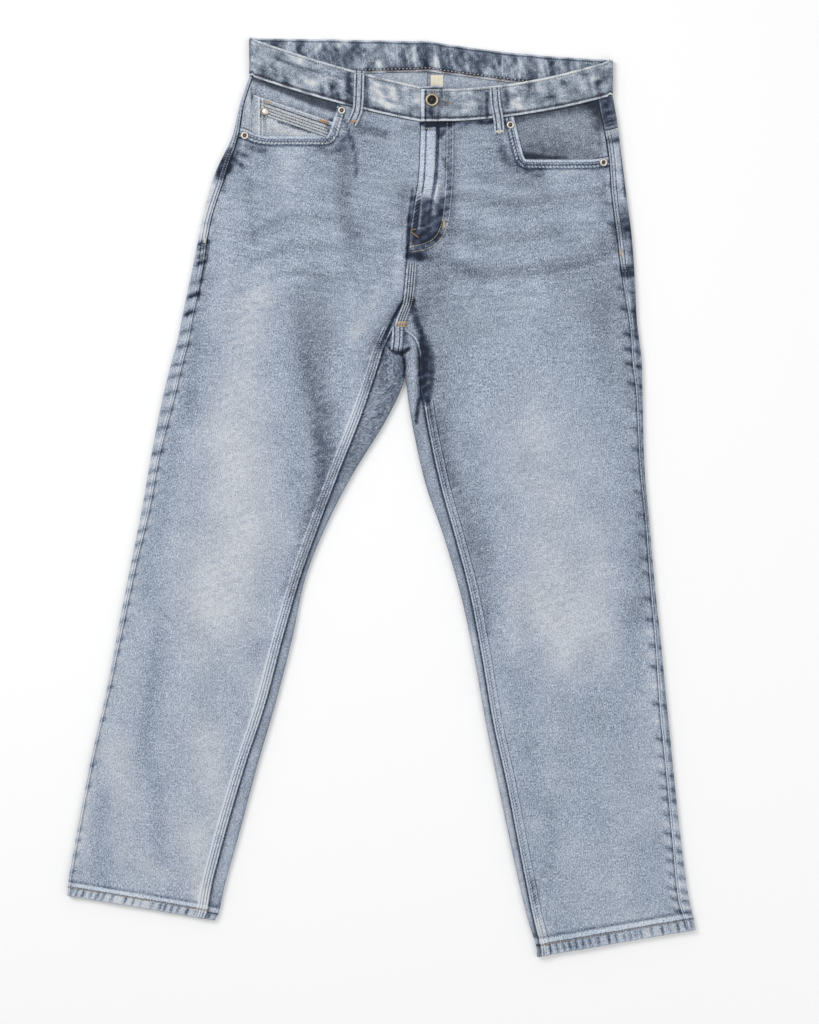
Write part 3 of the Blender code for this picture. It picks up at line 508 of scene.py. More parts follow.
# Where the outseams pucker, as heights in the photograph and how strongly.
PUCKERS = {
    "right": pairs((
        200,.3, 221,.4, 243,.7, 262,.6, 281,.5, 295,.8, 312,.8, 330,.7, 345,.9, 363,.7, 375,.7, 392,.8,
        410,.7, 427,.8, 452,1.2, 470,.8, 483,.7, 497,.8, 512,.7, 530,.9, 543,.7, 560,.7, 575,.6, 590,.6,
        605,.6, 621,.7, 640,.6, 652,.5, 668,.4, 688,.9, 704,.4, 720,.6, 742,.4, 765,.7, 787,.8, 806,.4,
        830,.7, 840,.7, 855,.6, 872,.7,
    )),
    "left": pairs((
        168,.3, 186,.4, 205,.4, 226,.5, 250,.5, 270,.5, 290,.5, 310,.8, 335,.8, 350,.7, 365,.9, 385,.8,
        410,.5, 430,.5, 450,.6, 472,.5, 494,.5, 516,.5, 538,.5, 560,.6, 575,.6, 600,.7, 621,.9, 646,.9,
        668,.9, 705,.9, 740,.9, 758,.5, 775,.7, 789,.6, 800,.7, 815,.5, 835,.8, 850,.8, 862,.7, 876,.5,
        890,.8, 900,.8, 912,.9,
    )),
}
# Where the hems' rope marks are, across the photograph, and how strongly.
HEM_MARKS = {
    "right": pairs((
        72,.5, 77,.6, 83,.9, 91,.5, 97,.9, 103,.7, 112,.7, 125,.9, 133,.5, 141,.3, 152,.6, 160,.8, 165,.8,
        172,.7, 178,.5, 187,.9, 196,.6, 203,.5, 209,.7,
    )),
    "left": pairs((
        543,.5, 550,.9, 557,.5, 564,.6, 570,.9, 576,.9, 583,.8, 590,.7, 598,.8, 609,1, 616,.7, 624,.4, 630,.7,
        636,.6, 641,.7, 652,.6, 662,.9, 669,.4, 678,.8, 686,.6, 691,.5,
    )),
}


def within(x, y, outline):
    """Whether places are inside a closed outline."""
    inside = np.zeros(np.shape(x), bool)
    for (ax, ay), (bx, by) in zip(outline, np.roll(outline, -1, axis=0)):
        if ay != by:
            crossed = (ay > y) != (by > y)
            inside ^= crossed & (x < ax + (bx - ax) * (y - ay) / (by - ay))
    return inside


STROKE_UNEVEN, STROKE_PATCHES = 0.22, 10.0     # how much a stroke varies, and over what length
STROKE_REACH, REACH_MARGIN = 2.4, 8.0          # where a stroke ends: in its widths, and millimetres more
PATCH_STOPS, STROKE_STOPS = 6.0, 12.0          # millimetres between the stops of their paths


def strokes_at(x, y, strokes):
    """What strokes and patches add at places of the part's frame: shade and lift."""
    shade, lift = np.zeros(np.shape(x)), np.zeros(np.shape(x))
    uneven = 1 + STROKE_UNEVEN * waves(x, y, STROKE_PATCHES, 77)
    for stroke in strokes:
        closed = isinstance(stroke, Patch)
        points = pixels(stroke.path + stroke.path[:1] if closed else stroke.path)
        path = curved(points, PATCH_STOPS if closed else STROKE_STOPS)
        reach = (stroke.edge if closed else stroke.width * STROKE_REACH) * PIXEL + REACH_MARGIN
        low, high = path.min(axis=0) - reach, path.max(axis=0) + reach
        reached = (x > low[0]) & (x < high[0]) & (y > low[1]) & (y < high[1])
        if not reached.any():
            continue
        distance, _, _ = from_path(x[reached], y[reached], path)
        if closed:
            distance = np.where(within(x[reached], y[reached], path), -distance, distance)
            soft = 1 - step(distance, -stroke.edge * PIXEL, stroke.edge * PIXEL)
        else:
            soft = np.exp(-(distance / (stroke.width * PIXEL)) ** stroke.power)
        shade[reached] += stroke.shade * soft * uneven[reached]
        lift[reached] += stroke.lift * soft
    return shade, lift


WAVES = 9                         # how many plane waves make up the noise
CRACKLE_SHARPNESS = 3.2


def waves(x, y, size, seed):
    """Soft even noise with hills of about this size, between about -1 and 1."""
    random = np.random.default_rng(seed)
    total = 0.0
    for _ in range(WAVES):
        angle, phase = random.uniform(0, 2 * math.pi, 2)
        pitch = size * random.uniform(0.7, 1.6)
        total = total + np.sin((x * math.cos(angle) + y * math.sin(angle)) * 2 * math.pi / pitch + phase)
    return total / math.sqrt(WAVES)


def crackle(x, y, size, seed):
    """Thin wandering creases, 1 on a crease and 0 between them."""
    return np.clip(1 - np.abs(waves(x, y, size, seed)) * CRACKLE_SHARPNESS, 0, 1) ** 2


PUCKER_DARK, PUCKER_LIGHT = (0.28, 2.3), (0.2, 3.6)     # slant, and width in millimetres
PUCKER_SHADE, PUCKER_PALE = {"right": 0.36, "left": 0.44}, 0.14
PUCKER_DEPTH, PUCKER_HEIGHT = 0.8, 0.4


def pucker_amount(side, y, across):
    """Ticks along an outseam: across is millimetres from it, + on the front."""
    dark, light = np.zeros(np.shape(y)), np.zeros(np.shape(y))
    (dark_slant, dark_width), (light_slant, light_width) = PUCKER_DARK, PUCKER_LIGHT
    previous = None
    for place, strength in PUCKERS[side]:
        middle = (ORIGIN_Y - place) * PIXEL
        dark = np.maximum(dark, strength * bump(y - middle - dark_slant * across, dark_width))
        if previous is not None:
            between = (middle + previous) / 2
            light = np.maximum(light, strength * bump(y - between - light_slant * across, light_width))
        previous = middle
    return dark, light


HIP_DARKER, HIP_RISE = 0.075, (60, 190)        # the hips are less washed than the legs, above this y


def leg_top(side, leg, station, distance):
    """A leg's upper face with its creases, and the shade of the cloth there: wash, wear and painted shadow.
    """
    point = leg.top(station, distance)
    x, y = point[..., 0], point[..., 1]
    station = np.broadcast_to(station, x.shape)
    width = leg.width(station)
    left = width - distance
    seam = distance - smooth(leg.outseams, station)
    shade = BASE_WASH[side] + 0.02 * waves(x, y, 90, 3) - HIP_DARKER * step(y, *HIP_RISE)
    lift = 0.35 * waves(x, y, 75, 5) + 0.18 * waves(x, y, 33, 8)
    # The tables add wear, and painted shadow in folds, hollows and under the waistband's edge.
    for strokes in (THIGH_WEAR_AND_SHADE[side], HIP_WEAR_AND_SHADE, CROTCH_SHADE):
        more_shade, more_lift = strokes_at(x, y, strokes)
        shade, lift = shade + more_shade, lift + more_lift
    dark, light = pucker_amount(side, y, seam)
    if side == "right":
        reach = step(seam, -FOLD_RADIUS * 3.4, -9) * near(seam, 1, 7)
    else:
        reach = near(seam, 5, 12) * np.maximum(step(seam, -1.0, 0.5), step(-seam, 2.6, 4.4))
    shade = shade - PUCKER_SHADE[side] * dark * reach + PUCKER_PALE * light * reach
    lift = lift - PUCKER_DEPTH * dark * reach + PUCKER_HEIGHT * light * reach
    shade = shade + 0.05 * near(distance, 0, 5) - 0.10 * near(left, 0, 6) * step(station, 8, 9)
    soft = rolled(distance) * np.where(station > FORK, rolled(left), 1.0)
    point[..., 2] += lift * soft
    return point, shade


# ---- making meshes ---------------------------------------------------------------------------
SAME_POINT = 1e-3                 # millimetres between two points that are one


def numbered(grid, joined=None):
    """A number for each point of a grid, -1 for a missing one, and the list of points."""
    rows, columns = grid.shape[:2]
    index = np.full((rows, columns), -1)
    points = []
    for r in range(rows):
        for c in range(columns):
            point = grid[r, c]
            if math.isnan(point[0]):
                continue
            if joined and c == joined[1] and index[r, joined[0]] >= 0:
                if length_of(grid[r, joined[0]] - point) < SAME_POINT:
                    index[r, c] = index[r, joined[0]]
                    continue
            index[r, c] = len(points)
            points.append((r, c))
    return index, np.array(points)


def in_scene(name, data):
    made = bpy.data.objects.new(name, data)
    bpy.context.scene.collection.objects.link(made)
    return made


def piece_of(name, mesh, finishes, wall=0.0, node=None):
    """A piece of the part's one body around a mesh, thickened inwards if it has a wall."""
    mesh.shade_smooth()
    for finish in finishes:
        mesh.materials.append(finish)
    piece = in_scene(name, mesh)
    if wall:
        solidify = piece.modifiers.new("wall", "SOLIDIFY")
        solidify.thickness, solidify.offset, solidify.material_offset = wall * MM, -1, 1
    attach(piece, "root")
    if node:
        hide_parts(node)
    return piece


def cloth(name, grid, wall, finish, flip, fields, inside=None, joined=None, solid=True):
    """A thin shell through a grid of points on its outer face.

    fields are numbers or triples at each point that the material reads. joined is the pair of
    columns that are one line wherever both have the same point, with no cloth between them.
    solid says that the piece stands for the solid of its name.
    """
    index, kept = numbered(grid, joined)
    faces = np.stack((index[:-1, :-1], index[:-1, 1:], index[1:, 1:], index[1:, :-1]), axis=-1)
    if joined:
        faces[:, joined[0]] = -1
    faces = faces.reshape(-1, 4)
    faces = faces[(faces >= 0).all(axis=1)]
    if flip:
        faces = faces[:, ::-1]
    kept = tuple(kept.T)
    mesh = bpy.data.meshes.new("cloth_" + name)
    mesh.from_pydata((grid[kept] * MM).tolist(), [], faces.tolist())
    mesh.validate()
    for field, values in fields.items():
        values = np.asarray(values, float)[kept]
        kind, key = ("FLOAT", "value") if values.ndim == 1 else ("FLOAT_VECTOR", "vector")
        places = mesh.attributes.new(field, kind, "POINT").data
        places.foreach_set(key, np.ascontiguousarray(values).ravel())
    return piece_of("cloth_" + name, mesh, (finish, inside or DENIMS["inside"]), wall,
                    name if solid else None)


def surface(*pieces):
    """What stitches are laid on: the outer faces of some pieces, as one search tree."""
    points, faces = [], []
    for piece in pieces:
        start = len(points)
        points += [vertex.co.copy() for vertex in piece.data.vertices]
        faces += [[start + k for k in polygon.vertices] for polygon in piece.data.polygons]
    return BVHTree.FromPolygons(points, faces)


RAY_ABOVE, RAY_BELOW = 0.06, -0.05          # where the search for the cloth starts, in metres


def laid_on(tree, x, y, below=False):
    """The place and normal of the cloth over or under a point, or None off the cloth."""
    direction = Vector((0, 0, 1 if below else -1))
    start = Vector((x * MM, y * MM, RAY_BELOW if below else RAY_ABOVE))
    place, normal, _, _ = tree.ray_cast(start, direction)
    if place is None:
        return None
    return place, -normal if normal.dot(direction) > 0 else normal


def tube(first, rings, sides):
    """The faces of a closed tube of rings of points, numbered from first."""
    faces = []
    for ring in range(rings - 1):
        for k in range(sides):
            a, b = (first + ring * sides + corner % sides for corner in (k, k + 1))
            faces.append((a, b, b + sides, a + sides))
    last = first + (rings - 1) * sides
    return faces + [tuple(first + k for k in reversed(range(sides))), tuple(last + k for k in range(sides))]


class Thread:
    """Stitches of one thread, gathered into one mesh."""
    SIDES = 5
    # The rings of a stitch: how far along it, and its radius and rise off the cloth, in radii.
    RINGS = ((0.0, 0.45, -0.5), (0.2, 0.95, 0.25), (0.8, 0.95, 0.25), (1.0, 0.45, -0.5))
    TACK_PITCH = 1.7              # between the stitches of a bar, in radii
    SHORTEST = 1e-6

    def __init__(self, name, finish):
        self.name, self.finish = name, finish
        self.vertices, self.faces = [], []

    def stitch(self, start, end, normal, radius):
        """One stitch: a short fat thread, arched a little off the cloth and sunk at its ends."""
        run = end - start
        if run.length < self.SHORTEST:
            return
        along = run.normalized()
        across = along.cross(normal).normalized()
        up = across.cross(along)
        self.faces += tube(len(self.vertices), len(self.RINGS), self.SIDES)
        for part, size, rise in self.RINGS:
            middle = start + run * part + up * radius * rise
            for k in range(self.SIDES):
                angle = 2 * math.pi * k / self.SIDES
                offset = across * math.cos(angle) + up * math.sin(angle)
                self.vertices.append(middle + offset * radius * size)

    def line(self, tree, path, pitch=3.0, radius=0.34, cover=0.72, below=False, through=0.0):
        """Stitches along a path of the part's frame, on the highest or lowest cloth there.

        cover is how much of the pitch a stitch takes, and through is the wall to come through,
        to lie on the lowest cloth's inner face.
        """
        path = np.asarray(path, float)
        lengths = run_along(path[:, :2])
        count = max(1, int(round(lengths[-1] / pitch)))
        pitch = lengths[-1] / count
        for k in range(count):
            ends = []
            for along in ((k + (1 - cover) / 2) * pitch, (k + (1 + cover) / 2) * pitch):
                x, y = (np.interp(along, lengths, path[:, axis]) for axis in (0, 1))
                ends.append(laid_on(tree, x, y, below))
            if None in ends:
                continue
            if through:
                ends = [(spot + Vector((0, 0, through * MM)), -normal) for spot, normal in ends]
            self.stitch(ends[0][0], ends[1][0], ends[0][1], radius * MM)

    def bartack(self, tree, start, end, width, radius):
        """A dense bar of stitches across a short line."""
        start, end = np.array(start, float), np.array(end, float)
        run = end - start
        length = float(np.hypot(*run))
        side = np.array((-run[1], run[0])) / length * width / 2
        count = max(2, int(length / (radius * self.TACK_PITCH)))
        for k in range(count):
            middle = start + run * (k + 0.5) / count
            a, b = (laid_on(tree, *(middle + side * s)) for s in (-1, 1))
            if a and b:
                self.stitch(a[0], b[0], a[1], radius * MM)

    def make(self):
        mesh = bpy.data.meshes.new(self.name)
        mesh.from_pydata([tuple(v) for v in self.vertices], [], self.faces)
        return piece_of(self.name, mesh, (self.finish,))


# ---- materials -------------------------------------------------------------------------------
WASH = ((0.0, (28, 36, 52)), (0.25, (68, 79, 99)), (0.5, (117, 127, 141)), (0.75, (163, 171, 184)),
        (1.0, (208, 214, 222)))
INSIDE_WASH = ((0.0, (40, 46, 58)), (0.25, (80, 88, 102)), (0.5, (124, 132, 145)),
               (0.75, (168, 175, 186)), (1.0, (212, 216, 221)))


def linear(colour):
    """An sRGB colour of 0 to 255 as Blender's linear one."""
    parts = [c / 255 for c in colour]
    return tuple(c / 12.92 if c <= 0.04045 else ((c + 0.055) / 1.055) ** 2.4 for c in parts) + (1,)


class Shader:
    """A material's nodes, built from sums on their sockets."""

    def __init__(self, name):
        self.material = bpy.data.materials.new(name)
        self.material.use_nodes = True
        self.nodes = self.material.node_tree.nodes
        self.links = self.material.node_tree.links
        self.surface = self.nodes["Principled BSDF"]

    def plug(self, node, values):
        """Sets a node's sockets, each to a number or to another node's output."""
        for name, value in values.items():
            if isinstance(value, bpy.types.NodeSocket):
                self.links.new(value, node.inputs[name])
            else:
                node.inputs[name].default_value = value

    def node(self, kind, values=None, **settings):
        made = self.nodes.new("ShaderNode" + kind)
        for key, value in settings.items():
            setattr(made, key, value)
        self.plug(made, values or {})
        return made

    def math(self, operation, *values):
        return self.node("Math", dict(enumerate(values)), operation=operation).outputs[0]

    def total(self, *values):
        result = values[0]
        for value in values[1:]:
            result = self.math("ADD", result, value)
        return result

    def product(self, *values):
        result = values[0]
        for value in values[1:]:
            result = self.math("MULTIPLY", result, value)
        return result

    def field(self, name):
        """What the mesh holds under a name, as one number and as a triple."""
        outputs = self.node("Attribute", attribute_name=name).outputs
        return outputs["Fac"], outputs["Vector"]

    def parts(self, vector):
        return self.node("SeparateXYZ", {0: vector}).outputs

    def seam(self, name):
        """The distance from a seam, the distance along it, and its strength."""
        return self.parts(self.field(name)[1])

    def millimetres(self):
        """The place on the part, for fine noise."""
        place = self.node("TexCoord").outputs["Object"]
        return self.node("VectorMath", {0: place, "Scale": 1 / MM}, operation="SCALE").outputs[0]

    def noise(self, vector, size, amount, detail=1.0):
        """Noise of about this size across and along, between -amount and amount."""
        scaled = self.node("VectorMath", {0: vector, 1: (1 / size[0], 1 / size[1], 1)}, operation="MULTIPLY")
        made = self.node("TexNoise", {"Vector": scaled.outputs[0], "Scale": 1.0, "Detail": detail})
        return self.product(self.math("SUBTRACT", made.outputs["Fac"], 0.5), 2 * amount)

    def ramp(self, value, stops):
        made = self.node("ValToRGB", {"Fac": value})
        elements = made.color_ramp.elements
        while len(elements) < len(stops):
            elements.new(0.5)
        for element, (place, colour) in zip(elements, stops):
            element.position, element.color = place, colour
        return made.outputs["Color"]

    def between(self, value, first, last, low=0.0, high=1.0):
        """A number that goes from low to high as a value goes from first to last."""
        return self.node("MapRange", {"Value": value, "From Min": first, "From Max": last,
                                      "To Min": low, "To Max": high}).outputs[0]

    def profile(self, distance, stops):
        """What a seam adds to the wash, painted shade in its grooves included, at a distance from it: stops
        of (millimetres, amount).
        """
        first, last = stops[0][0], stops[-1][0]
        greys = [((place - first) / (last - first), (0.5 + amount,) * 3 + (1,)) for place, amount in stops]
        return self.math("SUBTRACT", self.ramp(self.between(distance, first, last), greys), 0.5)

    def ticks(self, across, along, window, pitch, slant, amount):
        """Rope marks along a seam, inside a window of distances from it."""
        phase = self.product(self.math("MULTIPLY_ADD", across, slant, along), 2 * math.pi / pitch)
        inside = self.product(self.math("GREATER_THAN", across, window[0]),
                              self.math("LESS_THAN", across, window[1]))
        return self.product(self.math("SINE", phase), inside, amount)

    def finish(self, colour, height, strength, depth, **surface):
        """The finished material: its colour, its relief of about this depth in metres, and more."""
        relief = self.node("Bump", {"Strength": strength, "Distance": depth, "Height": height})
        self.plug(self.surface, {"Base Color": colour, "Normal": relief.outputs["Normal"]})
        self.plug(self.surface, {name.replace("_", " "): value for name, value in surface.items()})
        return self.material


# What the seams add to the wash, painted shade in their grooves included: (millimetres from the seam,
# amount). Minus is towards the outline.
OUTSEAM_HIP = pairs((
    -9,0, -7,.1, -6.4,-.34, -5.5,-.34, -5,.16, -3.4,.18, -2.9,-.34, -2,-.34, -1.5,.2, -.8,.16, -.4,-.34,
    .4,-.28, 1,.04, 3,0,
))
OUTSEAM_LEG = pairs((
    -5.5,0, -4.4,.06, -3.6,.16, -2.8,.12, -2.3,-.16, -1.7,-.16, -1.2,.22, -.3,.2, .2,-.16, 1.1,-.14, 2.2,0,
))
RIGHT_INSEAM_LINES = pairs((
    -1.5,0, -.9,-.3, 0,-.5, 1,-.46, 1.7,.14, 2.7,.16, 3.3,-.36, 4.1,-.38, 4.7,.15, 6,.17, 6.6,-.34, 7.4,-.36,
    8,.17, 9.4,.19, 9.9,-.24, 10.5,-.24, 11,.26, 12.2,.28, 13.4,.02, 14.5,0,
))
LEFT_INSEAM_LINES = pairs((
    -1.8,0, -1,-.3, 0,-.48, 1,-.44, 1.6,.22, 2.8,.24, 3.2,-.2, 4.2,-.16, 4.7,.1, 5.6,.08, 6.1,-.16, 7.4,-.14,
    7.9,.06, 9.2,.02, 9.7,.12, 10.8,.14, 11.3,-.24, 12.2,-.2, 12.8,.06, 14.2,0,
))
MOUTH_LINES = pairs((
    0,.04, .5,.2, 2.8,.18, 3.3,-.22, 4,-.2, 4.4,-.06, 5.4,-.06, 5.9,-.44, 6.9,-.44, 7.4,-.02, 9.3,-.02,
    9.9,-.4, 11.4,-.36, 12.8,-.06, 15,0,
))
FLY_LINES = pairs((
    0,.1, .6,.26, 4.6,.26, 5.6,-.06, 6.4,-.34, 7.4,-.06, 8.4,.24, 17,.24, 18.8,-.44, 21.4,-.44, 23,.08, 29,.1,
    31,0,
))
JAY_LINES = pairs((
    -6,0, -5,-.14, -4.4,-.14, -3.8,.14, -2.9,.12, -2.2,-.16, -1.2,-.02, 1.2,-.02, 2.2,-.16, 2.9,.12, 3.8,.14,
    4.4,-.14, 5,-.14, 6,0,
))
COIN_SIDE = pairs((-6,0, 0,.06, .6,.26, 2,.24, 2.6,-.3, 3.8,-.26, 4.6,.14, 6.2,.14, 6.8,-.2, 7.8,-.2, 9,0))
KNUCKLE_LINES = pairs((
    0,-.2, .6,.22, 2.2,.18, 2.8,-.46, 3.9,-.44, 4.4,.12, 6.4,.02, 8.4,.16, 9,-.44, 9.9,-.4, 10.4,.14, 12.6,0,
    13.4,-.36, 15,-.3,
))
BEAD_LINES = pairs((0,.1, .4,.26, 1.5,.24, 2.2,-.06, 6.4,-.06, 8,0))
CURL_LINES = pairs((0,.1, .4,.34, 1.7,.34, 2.4,-.1, 3.6,-.1, 5,0))
END_LINES = pairs((0,.1, .5,.3, 3.4,.3, 4.2,-.2, 4.8,-.5, 5.8,-.46, 6.8,-.06, 9,0))
COIN_LINES = pairs((
    0,.1, .4,.3, 1.5,.26, 1.9,.02, 4.2,.02, 4.6,-.46, 5.7,-.42, 6.1,.1, 8.6,.06, 9,-.36, 9.5,-.36, 9.9,.06,
    11.9,.06, 12.3,-.36, 12.8,-.36, 13.2,.06, 15.2,.06, 15.6,-.36, 16.1,-.36, 16.5,.06, 18.5,.06, 18.9,-.34,
    19.6,-.24, 20.1,.1, 24,.12, 30,0,
))
RISE_LINES = pairs((
    0,-.1, .4,.3, 1.8,.28, 2.3,-.04, 2.7,-.46, 3.6,-.46, 4,0, 5.4,0, 5.8,-.46, 6.7,-.46, 7.1,0, 8.4,0,
    8.8,-.46, 9.7,-.46, 10.1,0, 11.4,-.02, 12.4,-.26, 13.6,-.2, 16,0,
))
HEM_LINES = pairs((
    0,.06, 1.6,.12, 3.2,0, 9.6,-.02, 10.6,-.34, 11.8,-.34, 12.6,.16, 15.6,.18, 16.8,-.04, 17.6,-.26, 18.6,-.2,
    21,0,
))
LOWER_EDGE = pairs((0,.1, .4,.28, 1.9,.28, 2.6,-.14, 3.1,-.42, 4.6,-.4, 5.6,-.1, 8,0))
UPPER_EDGE = pairs((0,.12, .4,.26, 1.9,.24, 2.6,-.2, 3.4,-.2, 4.4,.04, 6,0))
LOOP_LINES = pairs((0,-.2, .5,.2, 1.9,.18, 2.5,-.46, 3.4,-.46, 4,.1, 6,.14))

# The unevenness of denim: each noise's size across and along in millimetres, amount and detail.
HEATHER, SLUBS, CROSS = ((1.15, 2.1), 0.46, 1.5), ((0.9, 12), 0.16, 1), ((9, 1.0), 0.07, 1)
MOTTLE, CLOUD, STREAKS = ((5, 7), 0.07, 1), ((34, 50), 0.08, 1), ((34, 6), 0.14, 1)
TWILL_PITCH, TWILL_SLANT = 0.95, 0.62
# The palest cloth is warmer, and the rest a clearer blue: level of fade and shade, red and blue.
WARMTH = ((0.3, 1.0, 1.0), (0.5, 0.99, 1.01), (0.70, 0.955, 1.05), (0.79, 0.995, 1.01), (0.88, 1.02, 0.975))


def denim(name, lines=(), rope=(), inside=False, tint=(1, 1, 1), grain=1.0, streaked=False):
    """Washed denim: the mesh's field of fading and painted shade, heather, slubs and twill, and its seams'
    lines.
    """
    shader = Shader(name)
    _, place = shader.field("cloth")
    across, along, _ = shader.parts(place)
    fade_and_shade, _ = shader.field("fade_and_shade")
    heather, slubs, cross, mottle = (shader.noise(place, size, amount * grain, detail)
                                     for size, amount, detail in (HEATHER, SLUBS, CROSS, MOTTLE))
    # Less washed cloth keeps more contrast, but in the deepest indigo and the painted shadows the grain is
    # hardly seen.
    depth = shader.between(fade_and_shade, 0.84, 0.68, 0.82, 1.34)
    hidden = shader.between(fade_and_shade, 0.05, 0.45, 0.3, 1)
    slant = shader.math("MULTIPLY_ADD", along, TWILL_SLANT, across)
    twill = shader.math("SINE", shader.product(slant, 2 * math.pi / TWILL_PITCH))
    weave = shader.product(shader.total(heather, slubs, cross, mottle), shader.product(depth, hidden))
    ribs = shader.product(twill, -0.03 if inside else 0.05)
    wash = shader.total(fade_and_shade, weave, shader.noise(place, *CLOUD), ribs)
    if streaked:
        # The hips have long marks across them.
        hips = shader.between(along, 330, 210, 0.25, 1)
        wash = shader.total(wash, shader.product(shader.noise(place, *STREAKS), hips))
    for field, stops in lines:
        away, _, strength = shader.seam(field)
        wash = shader.total(wash, shader.product(shader.profile(away, stops), strength))
    for field, window, pitch, lean, amount in rope:
        away, run, strength = shader.seam(field)
        marks = shader.ticks(away, run, window, pitch, lean, amount)
        wash = shader.total(wash, shader.product(marks, strength))
    stops = [(level, linear(colour)) for level, colour in (INSIDE_WASH if inside else WASH)]
    warmth = [(level, (tint[0] * red, tint[1], tint[2] * blue, 1)) for level, red, blue in WARMTH]
    tinted = shader.node("Mix", data_type="RGBA", blend_type="MULTIPLY")
    shader.plug(tinted, {"Factor": 1.0, 6: shader.ramp(wash, stops), 7: shader.ramp(fade_and_shade, warmth)})
    height = shader.total(shader.product(twill, 0.35), shader.product(heather, 2.0), slubs)
    return shader.finish(tinted.outputs[2], height, 0.7, 0.00028, Roughness=0.92, Specular_IOR_Level=0.2,
                         Sheen_Weight=0.08, Sheen_Roughness=0.6)


def thread(name, colour, spread=0.25):
    """Cotton sewing thread: fine two-ply twist and uneven fading."""
    shader = Shader(name)
    place = shader.millimetres()
    fine = shader.noise(place, (0.5, 0.5), spread * 0.8)
    level = shader.total(shader.noise(place, (6, 6), spread, 2), fine, 0.5)
    dark = linear([c * 0.62 for c in colour])
    light = linear([min(255, c * 1.22 + 8) for c in colour])
    shades = shader.ramp(level, ((0, dark), (0.5, linear(colour)), (1, light)))
    return shader.finish(shades, fine, 0.5, 0.0001, Roughness=0.75)


def metal(name, worn, dark):
    """Old plated metal, bright where it is rubbed and dull brown in its hollows."""
    shader = Shader(name)
    rubbed, _ = shader.field("rubbed")
    place = shader.millimetres()
    level = shader.total(rubbed, shader.noise(place, (1.6, 1.6), 0.35, 3))
    shades = shader.ramp(level, ((0.1, linear(dark)), (0.9, linear(worn))))
    return shader.finish(shades, shader.noise(place, (0.7, 0.7), 0.5, 2), 0.4, 0.0002, Roughness=0.42,
                         Metallic=0.75)


def woven_label():
    """A bare woven tape of fine ribs."""
    shader = Shader("bare_woven_label")
    (fade_and_shade, _), (_, place) = shader.field("fade_and_shade"), shader.field("cloth")
    rib = shader.math("SINE", shader.product(shader.parts(place)[1], 2 * math.pi / 0.6))
    level = shader.total(fade_and_shade, shader.product(rib, 0.06), shader.noise(place, (1.2, 0.8), 0.2, 2))
    shades = [(stop, linear(colour)) for stop, colour in
              ((0, (150, 142, 120)), (0.6, (224, 219, 196)), (1, (242, 239, 226)))]
    return shader.finish(shader.ramp(level, shades), rib, 0.5, 0.0001, Roughness=0.7)


# Rope marks: the seam, the window of distances from it, their pitch, slant and amount.
MOUTH_ROPE = (("mouth", (4.0, 5.7), 3.8, 0.5, 0.16), ("mouth", (7.2, 9.6), 4.2, 0.5, 0.22))
RIGHT_ROPE = MOUTH_ROPE + (("inseam", (4.7, 9.4), 3.4, 0.8, 0.08),)
LEFT_ROPE = MOUTH_ROPE + (
    ("inseam", (3.2, 5.8), 3.4, 0.8, 0.13), ("inseam", (6.0, 9.4), 3.6, 0.8, 0.13),
    ("jay", (-4, 4), 8.0, 0.4, 0.08), ("beads", (1.5, 6.4), 4.6, 0.6, 0.26),
    ("rise", (2.7, 9.7), 2.6, 0.0, 0.14))
SHARED_LINES = (("outseam_hip", OUTSEAM_HIP), ("outseam_leg", OUTSEAM_LEG), ("hem", HEM_LINES))
RIGHT_LINES = SHARED_LINES + (("mouth", MOUTH_LINES), ("inseam", RIGHT_INSEAM_LINES))
LEFT_LINES = SHARED_LINES + (
    ("mouth", MOUTH_LINES), ("inseam", LEFT_INSEAM_LINES), ("fly", FLY_LINES), ("rise", RISE_LINES),
    ("jay", JAY_LINES), ("beads", BEAD_LINES), ("curl", CURL_LINES))
BAND_LINES = (("lower", LOWER_EDGE), ("upper", UPPER_EDGE), ("end", END_LINES))
DENIMS = {
    "front_right": denim("denim_front_right", RIGHT_LINES, RIGHT_ROPE, streaked=True),
    "front_left": denim("denim_front_left", LEFT_LINES, LEFT_ROPE, streaked=True),
    "back": denim("denim_back", SHARED_LINES, tint=(1.01, 1.0, 1.0), grain=0.9),
    "band": denim("denim_band", BAND_LINES, tint=(1.02, 1.0, 0.965), grain=0.85),
    "band_inside": denim("denim_band_inside", BAND_LINES, tint=(1.01, 1.0, 0.98), grain=0.8),
    "loop": denim("denim_loop", (("edge", LOOP_LINES),), tint=(1.02, 1.0, 0.965)),
    "coin": denim("denim_coin_pocket", (("coin", COIN_LINES), ("side", COIN_SIDE)), tint=(1.04, 1.0, 0.94)),
    "facing": denim("denim_facing", tint=(0.94, 1.0, 1.05), grain=0.9),
    "pocket": denim("denim_pocket", grain=0.9),
    "knuckle": denim("denim_knuckle", (("ribs", KNUCKLE_LINES),)),
    "inside": denim("denim_inside", inside=True),
}
THREADS = {
    "cream": thread("thread_cream", (216, 211, 196)),
    "tan": thread("thread_tan", (182, 164, 132)),
    "rust": thread("thread_rust", (170, 134, 98), 0.4),
    "brown": thread("thread_brown", (112, 92, 80)),
    "worn": thread("thread_worn_blue", (176, 182, 190)),
}
COPPER = metal("worn_copper", (222, 216, 208), (84, 68, 58))
BRASS = metal("old_brass", (196, 184, 164), (34, 30, 29))
LABEL = woven_label()


# ---- the pieces ------------------------------------------------------------------------------
def spaced(width, stops):
    """Parts of the way across a width, with their spacing given at a few distances."""
    places, spacings = zip(*stops)
    parts, distance = [0.0], 0.0
    while True:
        distance += float(np.interp(distance, places, spacings))
        if distance > width - 0.6 * spacings[-1]:
            return np.array(parts + [1.0])
        parts.append(distance / width)


EDGE_ROUND = 0.5                                # how far a hem's edge is rounded off
HEM_DEPTH = {"right": 10.5, "left": 13.5}       # from each hem's edge to its stitches
HEM_ROW, HEM_REACH = 11.0, 24.0                 # those stitches, and its end, in the hem's own measure
HEM_LEAN, HEM_PALE = {"right": 0.35, "left": -0.35}, {"right": 0.16, "left": 0.08}
HEM_PROFILE = ((-0.6, 11.1, 1.1), (0.5, 14.6, 1.8), (-0.5, 18, 1.4))
HEM_THICKER, MARK_DEPTH, MARK_WIDTH, MARK_SHADE = 0.9, 0.8, 1.6, 0.52


